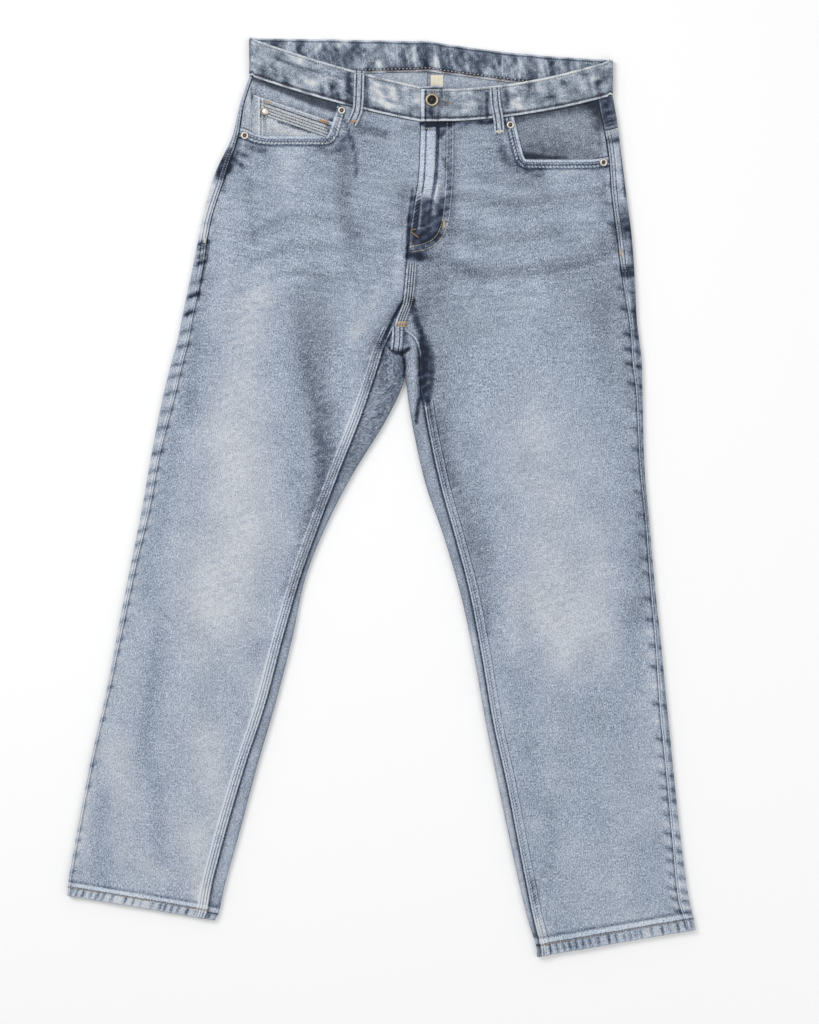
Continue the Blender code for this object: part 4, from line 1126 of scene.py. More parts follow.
def hem_distance(leg, station, distance, deep):
    """Distances up from the hem's edge, scaled so that its stitches are at HEM_ROW."""
    edge = leg.top(HEM, distance * leg.width(HEM) / leg.width(station))
    here = leg.top(station, distance)
    return length_of((here - edge)[..., :2]) * HEM_ROW / deep


def hem_relief(side, x, up, shade):
    """The hem's lift: a thick rope of cloth, grooved at its stitches, with slanting marks."""
    dark = np.zeros(np.shape(x))
    for place, strength in HEM_MARKS[side]:
        away = x - (place - ORIGIN_X) * PIXEL - HEM_LEAN[side] * (up - 6)
        dark = np.maximum(dark, strength * bump(away, MARK_WIDTH))
    inside = step(up, 0.6, 2.4) * near(up, 9.2, 10.6)
    lift = HEM_THICKER * near(up, 11.6, 14) + hills(up, HEM_PROFILE)
    lift = lift - MARK_DEPTH * dark * inside - EDGE_ROUND * near(up, 0, 1.2)
    return lift, shade - MARK_SHADE * dark * inside + HEM_PALE[side] * inside * (1 - dark)


def mouth_path(leg):
    parts = np.linspace(0, 1, 240)
    stations = leg.mouth_station(parts)
    return leg.front_point(stations, parts)[stations > 1e-3]


def edge_shift(side, station):
    if side == "right":
        return np.zeros(np.shape(station))
    return np.interp(station, *zip(*RISE_SHIFT))


def rows_down(leg, first, spacing):
    """Stations down to the hem, closer together round the crotch."""
    above, below = FORK - 1, CROTCH + 1
    return np.concatenate((leg.rows_between(first, above, spacing),
                           leg.rows_between(above, below, CROTCH_SPACING)[1:],
                           leg.rows_between(below, HEM, spacing)[1:]))


def fanned(start, end, down, rows):
    """Whole rows of stations: a fan from uneven starts to one station, and even rows below it."""
    below = np.repeat(rows[1:, None], np.shape(start)[0], axis=1)
    return np.concatenate((mix(start[None, :], end, down[:, None]), below))


def span(station, start, end):
    """1 between two pairs of stations, and soft inside each pair."""
    return step(station, *start) * near(station, *end)


def outseam_fields(station, away, along):
    """The outseam's two fields: its strong double stitches on the hip, fine ones down the leg."""
    hip = span(station, (1.15, 1.3), (4.6, 5.3))
    leg = span(station, (5.0, 5.6), (HEM - 0.5, HEM - 0.2))
    return {"outseam_hip": xyz(away, along, hip), "outseam_leg": xyz(away, along, leg)}


# Rows of stitches, in millimetres from their seams or edges.
INSEAM_ROWS = {"right": (3.7, 7.2, 10.3), "left": (2.4, 10.3)}
RISE_ROWS = (4.7, 7.8, 10.8)
# What the seams of a front panel raise and sink: height, place and width.
INSEAM_PROFILE = {"right": grooves((3.7, 7.0, 10.2), 0.35, 0.8), "left": grooves((11.8,), 0.35, 0.8)}
RISE_PROFILE = grooves((3.1, 6.1, 9.0), 0.3, 0.7)
MOUTH_PROFILE = ((-0.45, 6.3, 0.9), (-0.2, 9.6, 0.8))
FLY_PROFILE = ((-0.5, 6.3, 1.0), (-0.8, 20, 1.6), (0.5, 12.5, 3.6), (0.4, 26, 3), (-0.3, 31, 1))
FELLED, RISE_FELLED = 0.75, 0.7             # how much thicker the felled seams are
MOUTH_HEM, FLY_HEM = 0.5, 0.35              # and the turned edges of the mouths and of the fly
MOUTH_TURN = {"right": 88, "left": 98}      # across the panel, where the pocket mouth turns steep
SIDE_STOPS = ((0, 1.2), (13, 1.4), (20, 2.6), (40, 3.4))        # distances from the outseam, and spacings
FRONT_SPACING, BACK_SPACING, CROTCH_SPACING = 2.5, 3.2, 1.4       # millimetres between rows
FAN_END = 3.0                     # the station where the front's rows are level again below the mouth
FAR_FROM_SEAM = 99.0              # a distance that is past all of a seam's lines
RISE_OVERLAP = 1.9                          # how high the left front is over the right at the rise


def front_relief(side, station, away_inner, away_inseam, away_mouth, shift):
    """What the seams of a front panel raise and sink, at distances from each."""
    felled = FELLED * near(away_inseam, 12, 14) + hills(away_inseam, INSEAM_PROFILE[side])
    lift = felled * step(station, FORK, FORK + 0.4) + MOUTH_HEM * near(away_mouth, 5, 6.6)
    lift = lift - 0.35 * near(away_mouth, 0, 1.4) + hills(away_mouth, MOUTH_PROFILE)
    if side == "right":
        return lift
    fly = FLY_HEM * near(away_inner, 4.6, 6) + hills(away_inner, FLY_PROFILE)
    rise = RISE_FELLED * near(away_inner, 10.5, 12.5) + hills(away_inner, RISE_PROFILE)
    lift = lift + fly * near(station, 3.2, 3.8) + rise * span(station, (4.0, 4.4), (6.03, 6.1))
    return lift + RISE_OVERLAP * step(shift, 0, 3.5) * near(away_inner, 11, 15)


def front_panel(side, leg):
    """From the waist seam, round the pocket mouth, to the hem."""
    wide, turn = leg.width(1.0), MOUTH_TURN[side]
    by_mouth = ((turn - 4, 3.4), (turn, 1.5), (turn + 32, 1.5), (turn + 36, 3.6))
    by_fly = ((wide - 56, 3.6), (wide - 50, 1.7), (wide - 15, 1.3))
    parts = spaced(wide, SIDE_STOPS + by_mouth + by_fly)
    down = np.concatenate((np.linspace(0, 0.26, 17), np.linspace(0.26, 1, 38)[1:]))
    station = fanned(leg.mouth_station(parts), FAN_END, down, rows_down(leg, FAN_END, FRONT_SPACING))
    begin, end = leg.front_span(station)
    shift = edge_shift(side, station)
    end = end + shift
    distance = mix(begin, end, parts[None, :])
    point, shade = leg_top(side, leg, station, distance)
    x, y = point[..., 0], point[..., 1]
    from_outseam, from_inner = distance - begin, end - distance
    from_inseam = np.where(station >= FORK, from_inner, FAR_FROM_SEAM)
    along_out, along_in = leg.seam_length(station), leg.seam_length(station, inner=True)
    mouth_away, mouth_along, _ = from_path(x, y, mouth_path(leg)[::3])
    up = hem_distance(leg, station, distance, HEM_DEPTH[side])
    lift = front_relief(side, station, from_inner, from_inseam, mouth_away, shift)
    hem_lift, shade = hem_relief(side, x, up, shade)
    lift = lift - 0.2 * near(from_outseam, 0, 2.5) + np.where(up < HEM_REACH, hem_lift, 0)
    on_line = (leg.width(station) - distance < 1) & (station < 4.9)
    point[..., 2] += lift * np.where(on_line, 0.5, 1)
    jay_away, jay_along, jay_side = from_path(x, y, curved(pixels(JAY), 5.0))
    under_fold = step(station, 8.55, 8.75) if side == "left" else 1.0
    fly = 1 - 0.8 * step(station, 2.35, 2.75) - 0.2 * step(station, 3.4, 3.6)
    fields = {
        "cloth": xyz(distance, along_out, 0.0),
        "fade_and_shade": shade,
        "inseam": xyz(from_inseam, along_in, under_fold),
        "mouth": xyz(mouth_away, mouth_along, 1.0),
        "fly": xyz(from_inner, along_in, fly),
        "beads": xyz(from_inner, along_in, span(station, (2.35, 2.55), (3.5, 3.65))),
        "jay": xyz(jay_away * jay_side, jay_along, near(station, 4.0, 4.1)),
        "rise": xyz(from_inner, along_in, span(station, (4.25, 4.4), (6.0, 6.1))),
        "curl": xyz(from_inner, along_in, span(station, (6.08, 6.12), (7.2, 7.5))),
        "hem": xyz(np.minimum(up, HEM_REACH), x, 1.0),
        **outseam_fields(station, from_outseam, along_out),
    }
    return cloth("front_" + side, point, DENIM, DENIMS["front_" + side], leg.side < 0, fields)


# Marks inside the pocket mouths: wear, and painted shadow in the mouths' corners and under the coin pocket's
# end.
FACING_WEAR_AND_SHADE = (
    patch(2.5, -.34, 0, 520,140, 524,150, 551,156, 560,158, 522,158), tone(3, -.2, 523,156, 566,158),
    tone(4.5, -.14, 530,146, 562,151), tone(3, .16, 604,128, 606,158), tone(5, -.34, 596,98, 600,126),
    tone(4, -.2, 585,100, 594,112), tone(12, .1, 530,116, 580,124), tone(3, -.1, 602,102, 606,126),
    tone(2, -.3, 598,166, 598,172), tone(2, .14, 248,84, 248,132), tone(2.4, -.28, 254,97, 254.5,126),
    sharp(.8, -.3, 0, 251.5,88, 252,132), tone(1.2, -.26, 255,90, 255,130),
    crease(3.2, -.5, 0, 331,121, 333,128, 325,136, power=4), tone(2.2, -.16, 262,98, 330,119),
    tone(2, .2, 337,112, 337,134),
)
FACING_ROWS = np.linspace(0, 1, 34)[:, None]
COIN_ROWS = (7.6, 10.9, 14.2, 17.5)
COIN_PROFILE = ((-0.4, 2.8, 0.7), (-0.3, 5.4, 0.7)) + grooves(COIN_ROWS, 0.15, 0.7)
# Marks on the coin pocket: creases and wear, and painted shadow at its end.
COIN_WEAR_AND_SHADE = (
    sharp(1.3, -.4, -.3, 279,122, 294,127, 310,132), tone(2.4, -.3, 326,118, 329,132),
    tone(3, -.24, 263,113, 264,118), crease(3.5, .1, .2, 270,128, 300,136),
)


def facing_drop(leg, part):
    return mix(0.2, FACING_DROP, step(part * leg.width(1), 2, 16))


def pocket_grid(leg, part, station, drop):
    """Cloth inside a pocket mouth: its points, and how far they are below the waist."""
    clear = FACING_CLEARANCE * (1 - part)
    point = leg.front_point(station, part + clear / leg.width(station), drop)
    below = leg.front_point(0, part)[..., 1] - point[..., 1]
    soft = 0.16 * waves(point[..., 0], point[..., 1], 26, 12)
    point[..., 2] += soft * step(part * leg.width(1), 6, 20)
    return point, below


def facing(side, leg):
    """The cloth that shows in the pocket mouth, and the columns that a coin pocket shares with it."""
    parts = np.linspace(0, 0.62, 150)
    parts = parts[leg.mouth_station(parts) > 0.12]
    end = leg.mouth_station(parts)
    reach = 0.16 * step(parts * leg.width(1), 12, 30) - 0.02
    station = (end + reach)[None, :] * FACING_ROWS
    part = np.broadcast_to(parts[None, :], station.shape)
    point, below = pocket_grid(leg, part, station, facing_drop(leg, part))
    x, y = point[..., 0], point[..., 1]
    if side == "left":
        shade = mix(0.20, 0.47, step(below, 2, 13))
    else:
        deep = 1.5 + 6.5 * step(x, -150, -60)
        shade = mix(0.17, 0.67, step(below, deep, deep + 5))
    shade = shade + strokes_at(x, y, FACING_WEAR_AND_SHADE)[0] + 0.04 * waves(x, y, 15, 87)
    fields = {"cloth": xyz(part * leg.width(1), leg.seam_length(station), 0.0), "fade_and_shade": shade}
    piece = cloth("facing_" + side, point, POCKET_WALL, DENIMS["facing"], leg.side > 0, fields)
    return piece, (parts, end, reach)


def coin_pocket(leg, columns):
    """The part of the coin pocket that shows, and its top edge."""
    parts, end, reach = columns
    slope = (COIN_TOP_END[1] - COIN_TOP_START[1]) / (COIN_TOP_END[0] - COIN_TOP_START[0])
    start = leg.front_point(0, parts)
    whole = start[:, 1] - leg.front_point(end, parts)[:, 1]
    top_y = COIN_TOP_START[1] + slope * (start[:, 0] - COIN_TOP_START[0])
    first = end * np.clip((start[:, 1] - top_y) / whole, 0.12, 0.9)
    keep = start[:, 0] > COIN_TOP_START[0] - 4
    parts, first, end, reach = parts[keep], first[keep], end[keep], reach[keep]
    station = mix(first[None, :], (end + np.minimum(reach, 0.1))[None, :], FACING_ROWS)
    part = np.broadcast_to(parts[None, :], station.shape)
    point, below = pocket_grid(leg, part, station, facing_drop(leg, part) - COIN_RISE)
    top_edge = point[0]
    away, along, _ = from_path(point[..., 0], point[..., 1], top_edge[::3])
    point[..., 2] += 0.5 * near(away, 15.5, 17) - 0.3 * near(away, 0, 1.2)
    point[..., 2] += hills(away, COIN_PROFILE)
    more, lift = strokes_at(point[..., 0], point[..., 1], COIN_WEAR_AND_SHADE)
    point[..., 2] += lift
    from_side = point[..., 0] - point[0, 0, 0] - 4
    fields = {"cloth": xyz(along, below, 0.0), "fade_and_shade": 0.71 + more, "side": xyz(from_side, below, 1.0),
              "coin": xyz(away, along, np.where(away < 4.4, 1.0, step(from_side, 9, 10.5)))}
    piece = cloth("coin_pocket", point, POCKET_WALL, DENIMS["coin"], True, fields)
    return piece, top_edge


def outer_wrap(side, leg, station, steps):
    """From the outseam over the rolled edge: points, shade, and distance outwards from the seam."""
    seam = smooth(leg.outseams, station) - SEAM_GAP / 2
    start = np.arccos(1 - np.minimum(seam, FOLD_RADIUS) / FOLD_RADIUS)
    flat = np.maximum(0, seam - FOLD_RADIUS)
    total = flat + (start + math.pi / 2) * FOLD_RADIUS
    place = total[:, None] * np.linspace(0, 1, steps)[None, :]
    angle = start[:, None] - (place - flat[:, None]) / FOLD_RADIUS
    on_flat = place < flat[:, None]
    distance = np.where(on_flat, seam[:, None] - place, FOLD_RADIUS * (1 - np.cos(angle)))
    stations = np.broadcast_to(station[:, None], distance.shape)
    upper, shade = leg_top(side, leg, stations, distance)
    above = on_flat | (angle > 0)
    point = np.where(above[..., None], upper, leg.under(stations, distance))
    shade = np.where(above, shade, mix(shade, BASE_WASH[side] - 0.04, step(-angle, 0, 0.8)))
    return point, shade, place


def inner_wrap(side, leg, station):
    """From the surface up over the edge between the legs, and on to the inseam."""
    steps = 9
    turn = (1 - np.cos(math.pi / 2 * (1 - np.arange(steps) / (steps - 1)))) * FOLD_RADIUS
    stations = np.broadcast_to(station[:, None], (len(station), steps))
    lower = leg.under(stations, np.broadcast_to(turn[None, :], stations.shape), from_outer=False)
    seam = smooth(leg.inseams, station) - SEAM_GAP / 2 - np.minimum(edge_shift(side, station), 0)
    seam = seam[:, None]
    round_end = np.minimum(FOLD_RADIUS, 0.5 * seam)
    rise = 1 - np.cos(math.pi / 2 * np.linspace(0, 1, steps))
    places = np.concatenate((round_end * rise[None, :],
                             mix(round_end, seam, np.linspace(0, 1, 13)[None, 1:])), axis=1)
    stations = np.broadcast_to(station[:, None], places.shape)
    upper, _ = leg_top(side, leg, stations, leg.width(stations) - places)
    x, y = upper[..., 0], upper[..., 1]
    more, lift = strokes_at(x, y, LOBE_WEAR_AND_SHADE + CROTCH_SHADE)
    # Painted shade: darker beside the inseam and where the cloth turns down over the edge.
    shade = 0.60 + 0.03 * waves(x, y, 22, 4) + more + 0.05 * bump(places - seam * 0.55, 5)
    shade = shade - 0.20 * bump(places - seam, 1.8) - 0.10 * bump(places, 1.4)
    upper[..., 2] += lift * rolled(places) - 0.3 * bump(places - seam, 2.2)
    upper[station < FORK] = np.nan
    return lower, upper, shade, seam - places


def pocket_reach(part, station):
    """1 over a back pocket, where the back is raised clear of it, and 0 away from it."""
    close, far = POCKET_MARGIN, POCKET_MARGIN + POCKET_RAMP
    first, last = BACK_POCKET_COLUMNS
    across = np.minimum(step(part, first - far, first - close), step(-part, -last - far, -last - close))
    top, point = BACK_POCKET_ROWS
    along = np.minimum(step(station, top - POCKET_TOP_RAMP, top - POCKET_CLEAR),
                       step(-station, -point - POCKET_POINT_RAMP, -point - POCKET_CLEAR))
    return across * along


def under_grid(side, leg, station, parts):
    """The back panel's underside at whole rows of stations, with its faint folds and fading."""
    part = np.broadcast_to(parts[None, :], station.shape)
    width = leg.under_width(station)
    distance = mix(FOLD_RADIUS, width - FOLD_RADIUS * step(station, LOBE, CROTCH), part)
    point = leg.under(station, distance, lift=POCKET_LIFT * pocket_reach(part, station))
    x, y = point[..., 0], point[..., 1]
    ridge = np.maximum(0, waves(x, y, 70, 21)) * 0.5 * step(np.minimum(part, 1 - part) * width, 4, 22)
    point[..., 2] += ridge * (1 - pocket_reach(part, station))
    middle = step(part, 0.1, 0.45) * near(part, 0.6, 0.95)
    shade = BASE_WASH[side] - 0.05 + 0.12 * middle * step(station, 3, 7) + 0.04 * waves(x, y, 80, 23)
    behind_knee = bump(station - 13.2, 1.6) * middle
    shade = shade + 0.06 * behind_knee * waves(x, y, 30, 27) - 0.10 * (1 - ridge) * behind_knee
    return point, shade, distance


YOKE_GAP = 0.03                   # stations between the yoke and the back panel
LAST_PART = 0.962                 # the last column of the underside before the inner edge's round
UNDER_STOPS = ((0, 4.0), (6, 7.0), (50, 7.5), (56, 2.4), (70, 2.4), (74, 9.0), (150, 9.0), (160, 2.4),
               (184, 2.4), (190, 5.0), (225, 4.0))


def under_parts_of(leg, station, stops):
    parts = spaced(leg.under_width(station), stops)
    return np.concatenate((parts[parts < LAST_PART], [1.0]))


def back_grid(side, leg, stations, parts):
    """A whole piece round the back of a leg from rows of stations, one for each part across it.

    Gives points, shade, distances outwards from the outseam and across, the station of each, and
    the last column of the lower face.
    """
    wrap, wrap_shade, wrap_out = outer_wrap(side, leg, stations[:, 0], 18)
    under, under_shade, under_across = under_grid(side, leg, stations[:, 1:-1], parts[1:-1])
    lower, upper, upper_shade, _ = inner_wrap(side, leg, stations[:, -1])
    lower_shade = np.repeat(under_shade[:, -1:], lower.shape[1], axis=1)
    width = leg.under_width(stations[:, -1])[:, None]
    far = np.full((len(stations), under.shape[1] + lower.shape[1] + upper.shape[1]), -FAR_FROM_SEAM)
    lower_across = width - FOLD_RADIUS + np.linspace(0, 7, lower.shape[1])[None, :]
    upper_across = width + 4 + np.cumsum(np.ones(upper.shape[:2]), axis=1)
    inner = lower.shape[1] + upper.shape[1]
    rows = (np.repeat(stations[:, :1], wrap.shape[1], axis=1), stations[:, 1:-1],
            np.repeat(stations[:, -1:], inner, axis=1))
    point, shade, outward, across, rows = (np.concatenate(group, axis=1) for group in (
        (wrap, under, lower, upper), (wrap_shade, under_shade, lower_shade, upper_shade),
        (-wrap_out, far), (-wrap_out, under_across, lower_across, upper_across), rows))
    return point, shade, outward, across, rows, point.shape[1] - upper.shape[1] - 1


def back_panel(side, leg):
    """From the yoke seam to the hem, round both edges of the leg."""
    parts, even = under_parts_of(leg, 2.5, UNDER_STOPS), BACK_POCKET_ROWS[0] - POCKET_TOP_RAMP
    down = rows_down(leg, even, BACK_SPACING)
    station = fanned(leg.yoke_station(parts) + YOKE_GAP, even, np.linspace(0, 1, 10), down)
    point, shade, outward, across, rows, seam = back_grid(side, leg, station, parts)
    along = leg.seam_length(rows)
    up = (leg.seam_length(np.array(float(HEM))) - along) * HEM_ROW / HEM_DEPTH[side]
    top_side = point[..., 2] > EDGE_HEIGHT / 2
    hem_lift, shade = hem_relief(side, point[..., 0], up, shade)
    point[..., 2] += np.where((up < HEM_REACH) & top_side, hem_lift * 0.6, 0)
    yoke_part = np.clip(across / leg.under_width(2.5), 0, 1)
    from_yoke = along - leg.seam_length(leg.yoke_station(yoke_part))
    shade = shade + 0.12 * near(from_yoke, 0, 6) - 0.14 * bump(from_yoke - 7, 1.2)
    fields = {"cloth": xyz(across, along, 0.0), "fade_and_shade": shade,
              "hem": xyz(np.minimum(up, HEM_REACH), point[..., 0], 1.0),
              **outseam_fields(rows, outward, along)}
    fields = {name: np.nan_to_num(values) for name, values in fields.items()}
    return cloth("back_" + side, point, DENIM, DENIMS["back"], leg.side > 0, fields,
                 joined=(seam, seam + 1))


def yoke(side, leg):
    parts = under_parts_of(leg, 1.0, ((0, 3.0), (6, 4.5), (225, 4.5)))
    station = leg.yoke_station(parts)[None, :] * np.linspace(0, 1, 26)[:, None]
    *grids, seam = back_grid(side, leg, station, parts)
    point, shade, outward, across, rows = (grid[:, :seam + 1] for grid in grids)
    along = leg.seam_length(rows)
    if side == "left":
        shade = shade - 0.22 * step(point[..., 2], 5, 7)
    shade = shade + 0.04 - 0.1 * bump(across - leg.under_width(1.0), 6)
    fields = {"cloth": xyz(across, along, 0.0), "fade_and_shade": shade, **outseam_fields(rows, outward, along)}
    return cloth("yoke_" + side, point, DENIM, DENIMS["back"], leg.side > 0, fields)


# Painted shade along a back pocket's rows of stitches, at its seams and hem: amount, place and width.
POCKET_EDGE_SHADE = ((-0.22, 3.0, 0.9), (-0.12, 3.4, 1.1), (-0.14, 9.3, 0.9))
POCKET_TOP_SHADE = ((-0.12, 14, 1.2), (-0.08, 20, 6))


def back_pocket(side, leg):
    """A plain patch pocket on the underside, its lower edge drawn down to a point, and its seams."""
    first, last = BACK_POCKET_COLUMNS
    top, point_station = BACK_POCKET_ROWS
    parts = np.linspace(first, last, 49)
    middle = 1 - np.abs(2 * parts - first - last) / (last - first)
    bottom = point_station - BACK_POCKET_POINT * (1 - middle)
    station = mix(top, bottom[None, :], np.linspace(0, 1, 60)[:, None])
    distance = mix(FOLD_RADIUS, leg.under_width(station), parts[None, :])
    point = leg.under(station, distance)
    x, y = point[..., 0], point[..., 1]
    edge = np.minimum(np.minimum(distance - distance[:, :1], distance[:, -1:] - distance),
                      leg.seam_length(bottom)[None, :] - leg.seam_length(station))
    below_top = leg.seam_length(station) - leg.seam_length(np.array(top))
    point[..., 2] += 0.25 * near(edge, 0, 1.2) + 0.2 * bump(edge - 3.0, 0.8)
    point[..., 2] += 0.2 * bump(below_top - 14, 0.9) + 0.15 * (1 + waves(x, y, 40, 31))
    shade = BASE_WASH[side] + 0.14 * near(edge, 0, 1.6) + 0.08 * near(below_top, 0, 3)
    shade = shade + hills(edge, POCKET_EDGE_SHADE)
    shade = shade + hills(below_top, POCKET_TOP_SHADE) + 0.05 * waves(x, y, 34, 33)
    fields = {"cloth": xyz(distance, below_top, 0.0), "fade_and_shade": shade}
    piece = cloth("back_pocket_" + side, np.swapaxes(point, 0, 1), POCKET_WALL, DENIMS["pocket"],
                  leg.side < 0, {k: np.swapaxes(v, 0, 1) for k, v in fields.items()})
    seams = [np.concatenate((point[:-k - 1, k], point[-k - 1, k:-k - 1], point[-k - 1::-1, -k - 1]))
             for k in (1, 3)]
    return piece, seams + [point[4, 1:-1]]


# ---- waistband, loops and fittings -----------------------------------------------------------
# Marks on the front waistband: wear and creases, and painted shadows beside the belt loops.
BAND_WEAR_AND_SHADE = (
    crease(1.8, -.3, -.5, 278,60, 292,65, 305,73), crease(1.6, -.24, -.4, 300,67, 318,72),
    crease(4, -.26, -.3, 262,69, 262,76), crease(2.6, -.36, -.4, 273,66, 276,76),
    crease(3, -.34, -.3, 286,78, 287,84), crease(2.6, -.34, -.3, 321,86, 323,94),
    crease(2.3, -.3, -.3, 331,88, 333,97), crease(2.6, -.3, -.3, 337,94, 339,99),
    crease(3, -.16, -.3, 340,76, 334,88), sharp(4, -.46, -.2, 349,76, 349,118),
    sharp(2.8, -.44, -.2, 366.5,74, 366.5,124), crease(3.5, .2, .3, 286,57, 300,62),
    crease(5, .18, .3, 300,80, 318,88), crease(4, .1, .2, 252,60, 268,63), crease(4, .1, .3, 306,66, 330,80),
    crease(11, .2, .3, 372,86, 394,94, 416,102), tone(6, .14, 372,98, 394,108),
    tone(4, -.14, 411,92, 412,112), tone(6, .14, 510,88, 524,82), crease(4, -.1, -.2, 376,78, 392,84),
    crease(2, -.14, -.3, 398,90, 402,108), crease(3, -.12, -.2, 376,108, 392,112),
    sharp(1.6, -.38, -.3, 441,90, 441.5,98), crease(1.8, -.36, -.3, 439,110, 438,120),
    crease(2.4, -.26, -.2, 428,91, 436,89), crease(2.6, -.26, -.2, 430,112, 434,119),
    sharp(2, -.44, -.2, 487,94, 487,118), crease(2.2, .22, .3, 453,92, 453,98),
    crease(7, .16, .3, 460,96, 474,112), crease(1.8, -.16, -.3, 466,90, 470,100),
    crease(2.2, -.14, -.2, 478,100, 480,114), sharp(3, -.34, -.2, 505,84, 507,106),
    crease(4, .24, .2, 513,104, 523,110), crease(3, -.18, -.3, 530,84, 527,98),
    crease(5, .14, .2, 540,82, 574,72), crease(4, .14, .2, 556,94, 586,86),
    crease(2.2, -.18, -.3, 546,98, 576,90), crease(2, -.16, -.3, 560,76, 564,84),
    crease(1.8, .24, .3, 591,79, 594,92), crease(2.8, -.34, -.3, 598,82, 600,95),
    crease(3.4, -.1, -.2, 606,66, 609,78), tone(9, -.09, 448,92, 480,104), tone(9, .04, 262,64, 330,88),
    tone(4.5, .14, 376,100, 388,110), tone(4, .12, 468,98, 474,106), tone(4, .12, 518,104, 524,112),
    tone(3, -.14, 552,100, 560,94), tone(4, -.14, 418,84, 432,85), tone(4.5, -.14, 416,108, 430,113),
    tone(4, -.14, 243.5,62, 241.5,74), crease(3, -.14, -.2, 582,70, 588,84),
    patch(.8, -.3, -.5, 438,99, 450,104, 438,108),
)
INNER_BAND_WEAR = (
    tone(5, .2, 338,44, 358,43, 382,46), tone(6, -.15, 418,48, 436,50, 456,50),
)
BAND_CROWN = 0.4                  # how high the band's middle stands over its edges
# Where the columns of points are: parts of the band's height, and of half a loop's width.
BAND_PARTS = (0, 0.015, 0.035, 0.06, 0.085, 0.11, 0.15, 0.2, 0.26, 0.32, 0.38, 0.44, 0.5, 0.56, 0.62,
              0.68, 0.74, 0.8, 0.85, 0.89, 0.915, 0.94, 0.965, 0.985, 1)
HALF_STRIP = (0.15, 0.32, 0.42, 0.5, 0.58, 0.68, 0.8, 0.9, 0.96, 1)
LOOP_PROFILE = ((0.3, 0, 1.6), (0.25, 5.0, 0.9), (-0.35, 3.0, 0.6))


def front_band(leg, part):
    """Lower edge, height and crown of the front waistband, for parts from the side."""
    part = np.asarray(part, float)
    width = leg.width(0)
    lower = leg.top(0.0, mix(FOLD_RADIUS, width, part))
    lower[:, 1] += SEAM_GAP
    lower[:, 2] = BAND_HEIGHT
    if leg.side > 0:
        lower[:, 2] += OVERLAP_RISE * near(width * (1 - part), OVERLAP_LENGTH - 10, OVERLAP_LENGTH)
    return lower, smooth(leg.band_front, part * 2), np.full(part.shape, BAND_CROWN)


def loop_lift(leg, part):
    """How far the back of the band is raised over its belt loops."""
    lift = np.zeros(np.shape(part))
    for place in (BACK_LOOP_PLACE, 1.0):
        away = np.abs(part - place) * leg.under_width(0)
        lift = np.maximum(lift, BACK_LOOP_LIFT * near(away, LOOP_WIDTH / 2 + 1, LOOP_WIDTH / 2 + 8))
    return lift


def band_half(leg):
    """The band from the centre back, round the side, to the fly: sections of it, in that order."""
    turn = np.linspace(0, 1, 15)
    angle = math.pi * (turn - 0.5)
    fold = leg.under(0.0, FOLD_RADIUS * (1 - np.cos(angle)))
    fold[:, 1] += SEAM_GAP
    fold[:, 2] = BAND_HEIGHT / 2 * (1 + np.sin(angle))
    back = np.linspace(0, 1, 130)
    behind = leg.under(0.0, mix(FOLD_RADIUS, leg.under_width(0), back), lift=loop_lift(leg, back))
    behind[:, 1] += SEAM_GAP
    front = np.linspace(0.01, 1, 150)
    lower, rise, crown = front_band(leg, front)
    fold_rise = mix(leg.band_back[0], leg.band_front[0], turn)
    return [
        (behind[::-1], smooth(leg.band_back, back * 2)[::-1], back * 0, back * 0),
        tuple(values[1:] for values in (fold, fold_rise, turn * 0, step(turn, 0.5, 1))),
        (lower, rise, crown * step(front, 0, 0.08), front * 0 + 1),
    ]


def waistband():
    """One strip from the button end, round the back, to the buttonhole end on top."""
    end, end_rise, end_crown = front_band(RIGHT, [1.0])
    run = np.linspace(1, 0, 13)[:-1, None]
    button_end = (end + np.array((1, 0.06, 0)) * UNDERLAP * run, np.repeat(end_rise, 12),
                  np.repeat(end_crown, 12), np.ones(12))
    right = [tuple(values[::-1] for values in section) for section in band_half(RIGHT)[::-1]]
    (behind, *left) = band_half(LEFT)
    sections = [button_end, *right, tuple(values[1:] for values in behind), *left]
    # The lower edge, its height, its crown, and 1 on the front and 0 behind.
    lower, rise, crown, front = (np.concatenate(group) for group in zip(*sections))
    q = np.array(BAND_PARTS)
    point = lower[:, None, :] + xyz(0.0, rise[:, None] * q, crown[:, None] * 4 * q * (1 - q))
    lengths = run_along(lower[:, :2])
    run = np.broadcast_to(lengths[:, None], point.shape[:2])
    up = rise[:, None] * q[None, :]
    down = rise[:, None] - up
    edge = np.minimum(up, down)
    lift, fade_and_shade = band_looks(point[..., 0], point[..., 1], run, up, edge, front[:, None])
    point[..., 2] += lift
    fields = {
        "cloth": xyz(run, up, 0.0), "fade_and_shade": fade_and_shade + 0.14 * near(down, 0.2, 1.8) + 0.03 * near(up, 0.2, 1.8),
        "lower": xyz(up, run, 1.0), "upper": xyz(down, run, 1.0), "end": xyz(lengths[-1] - run, up, 1.0),
    }
    return cloth("waistband", point, BAND_WALL, DENIMS["band"], False, fields,
                 inside=DENIMS["band_inside"])


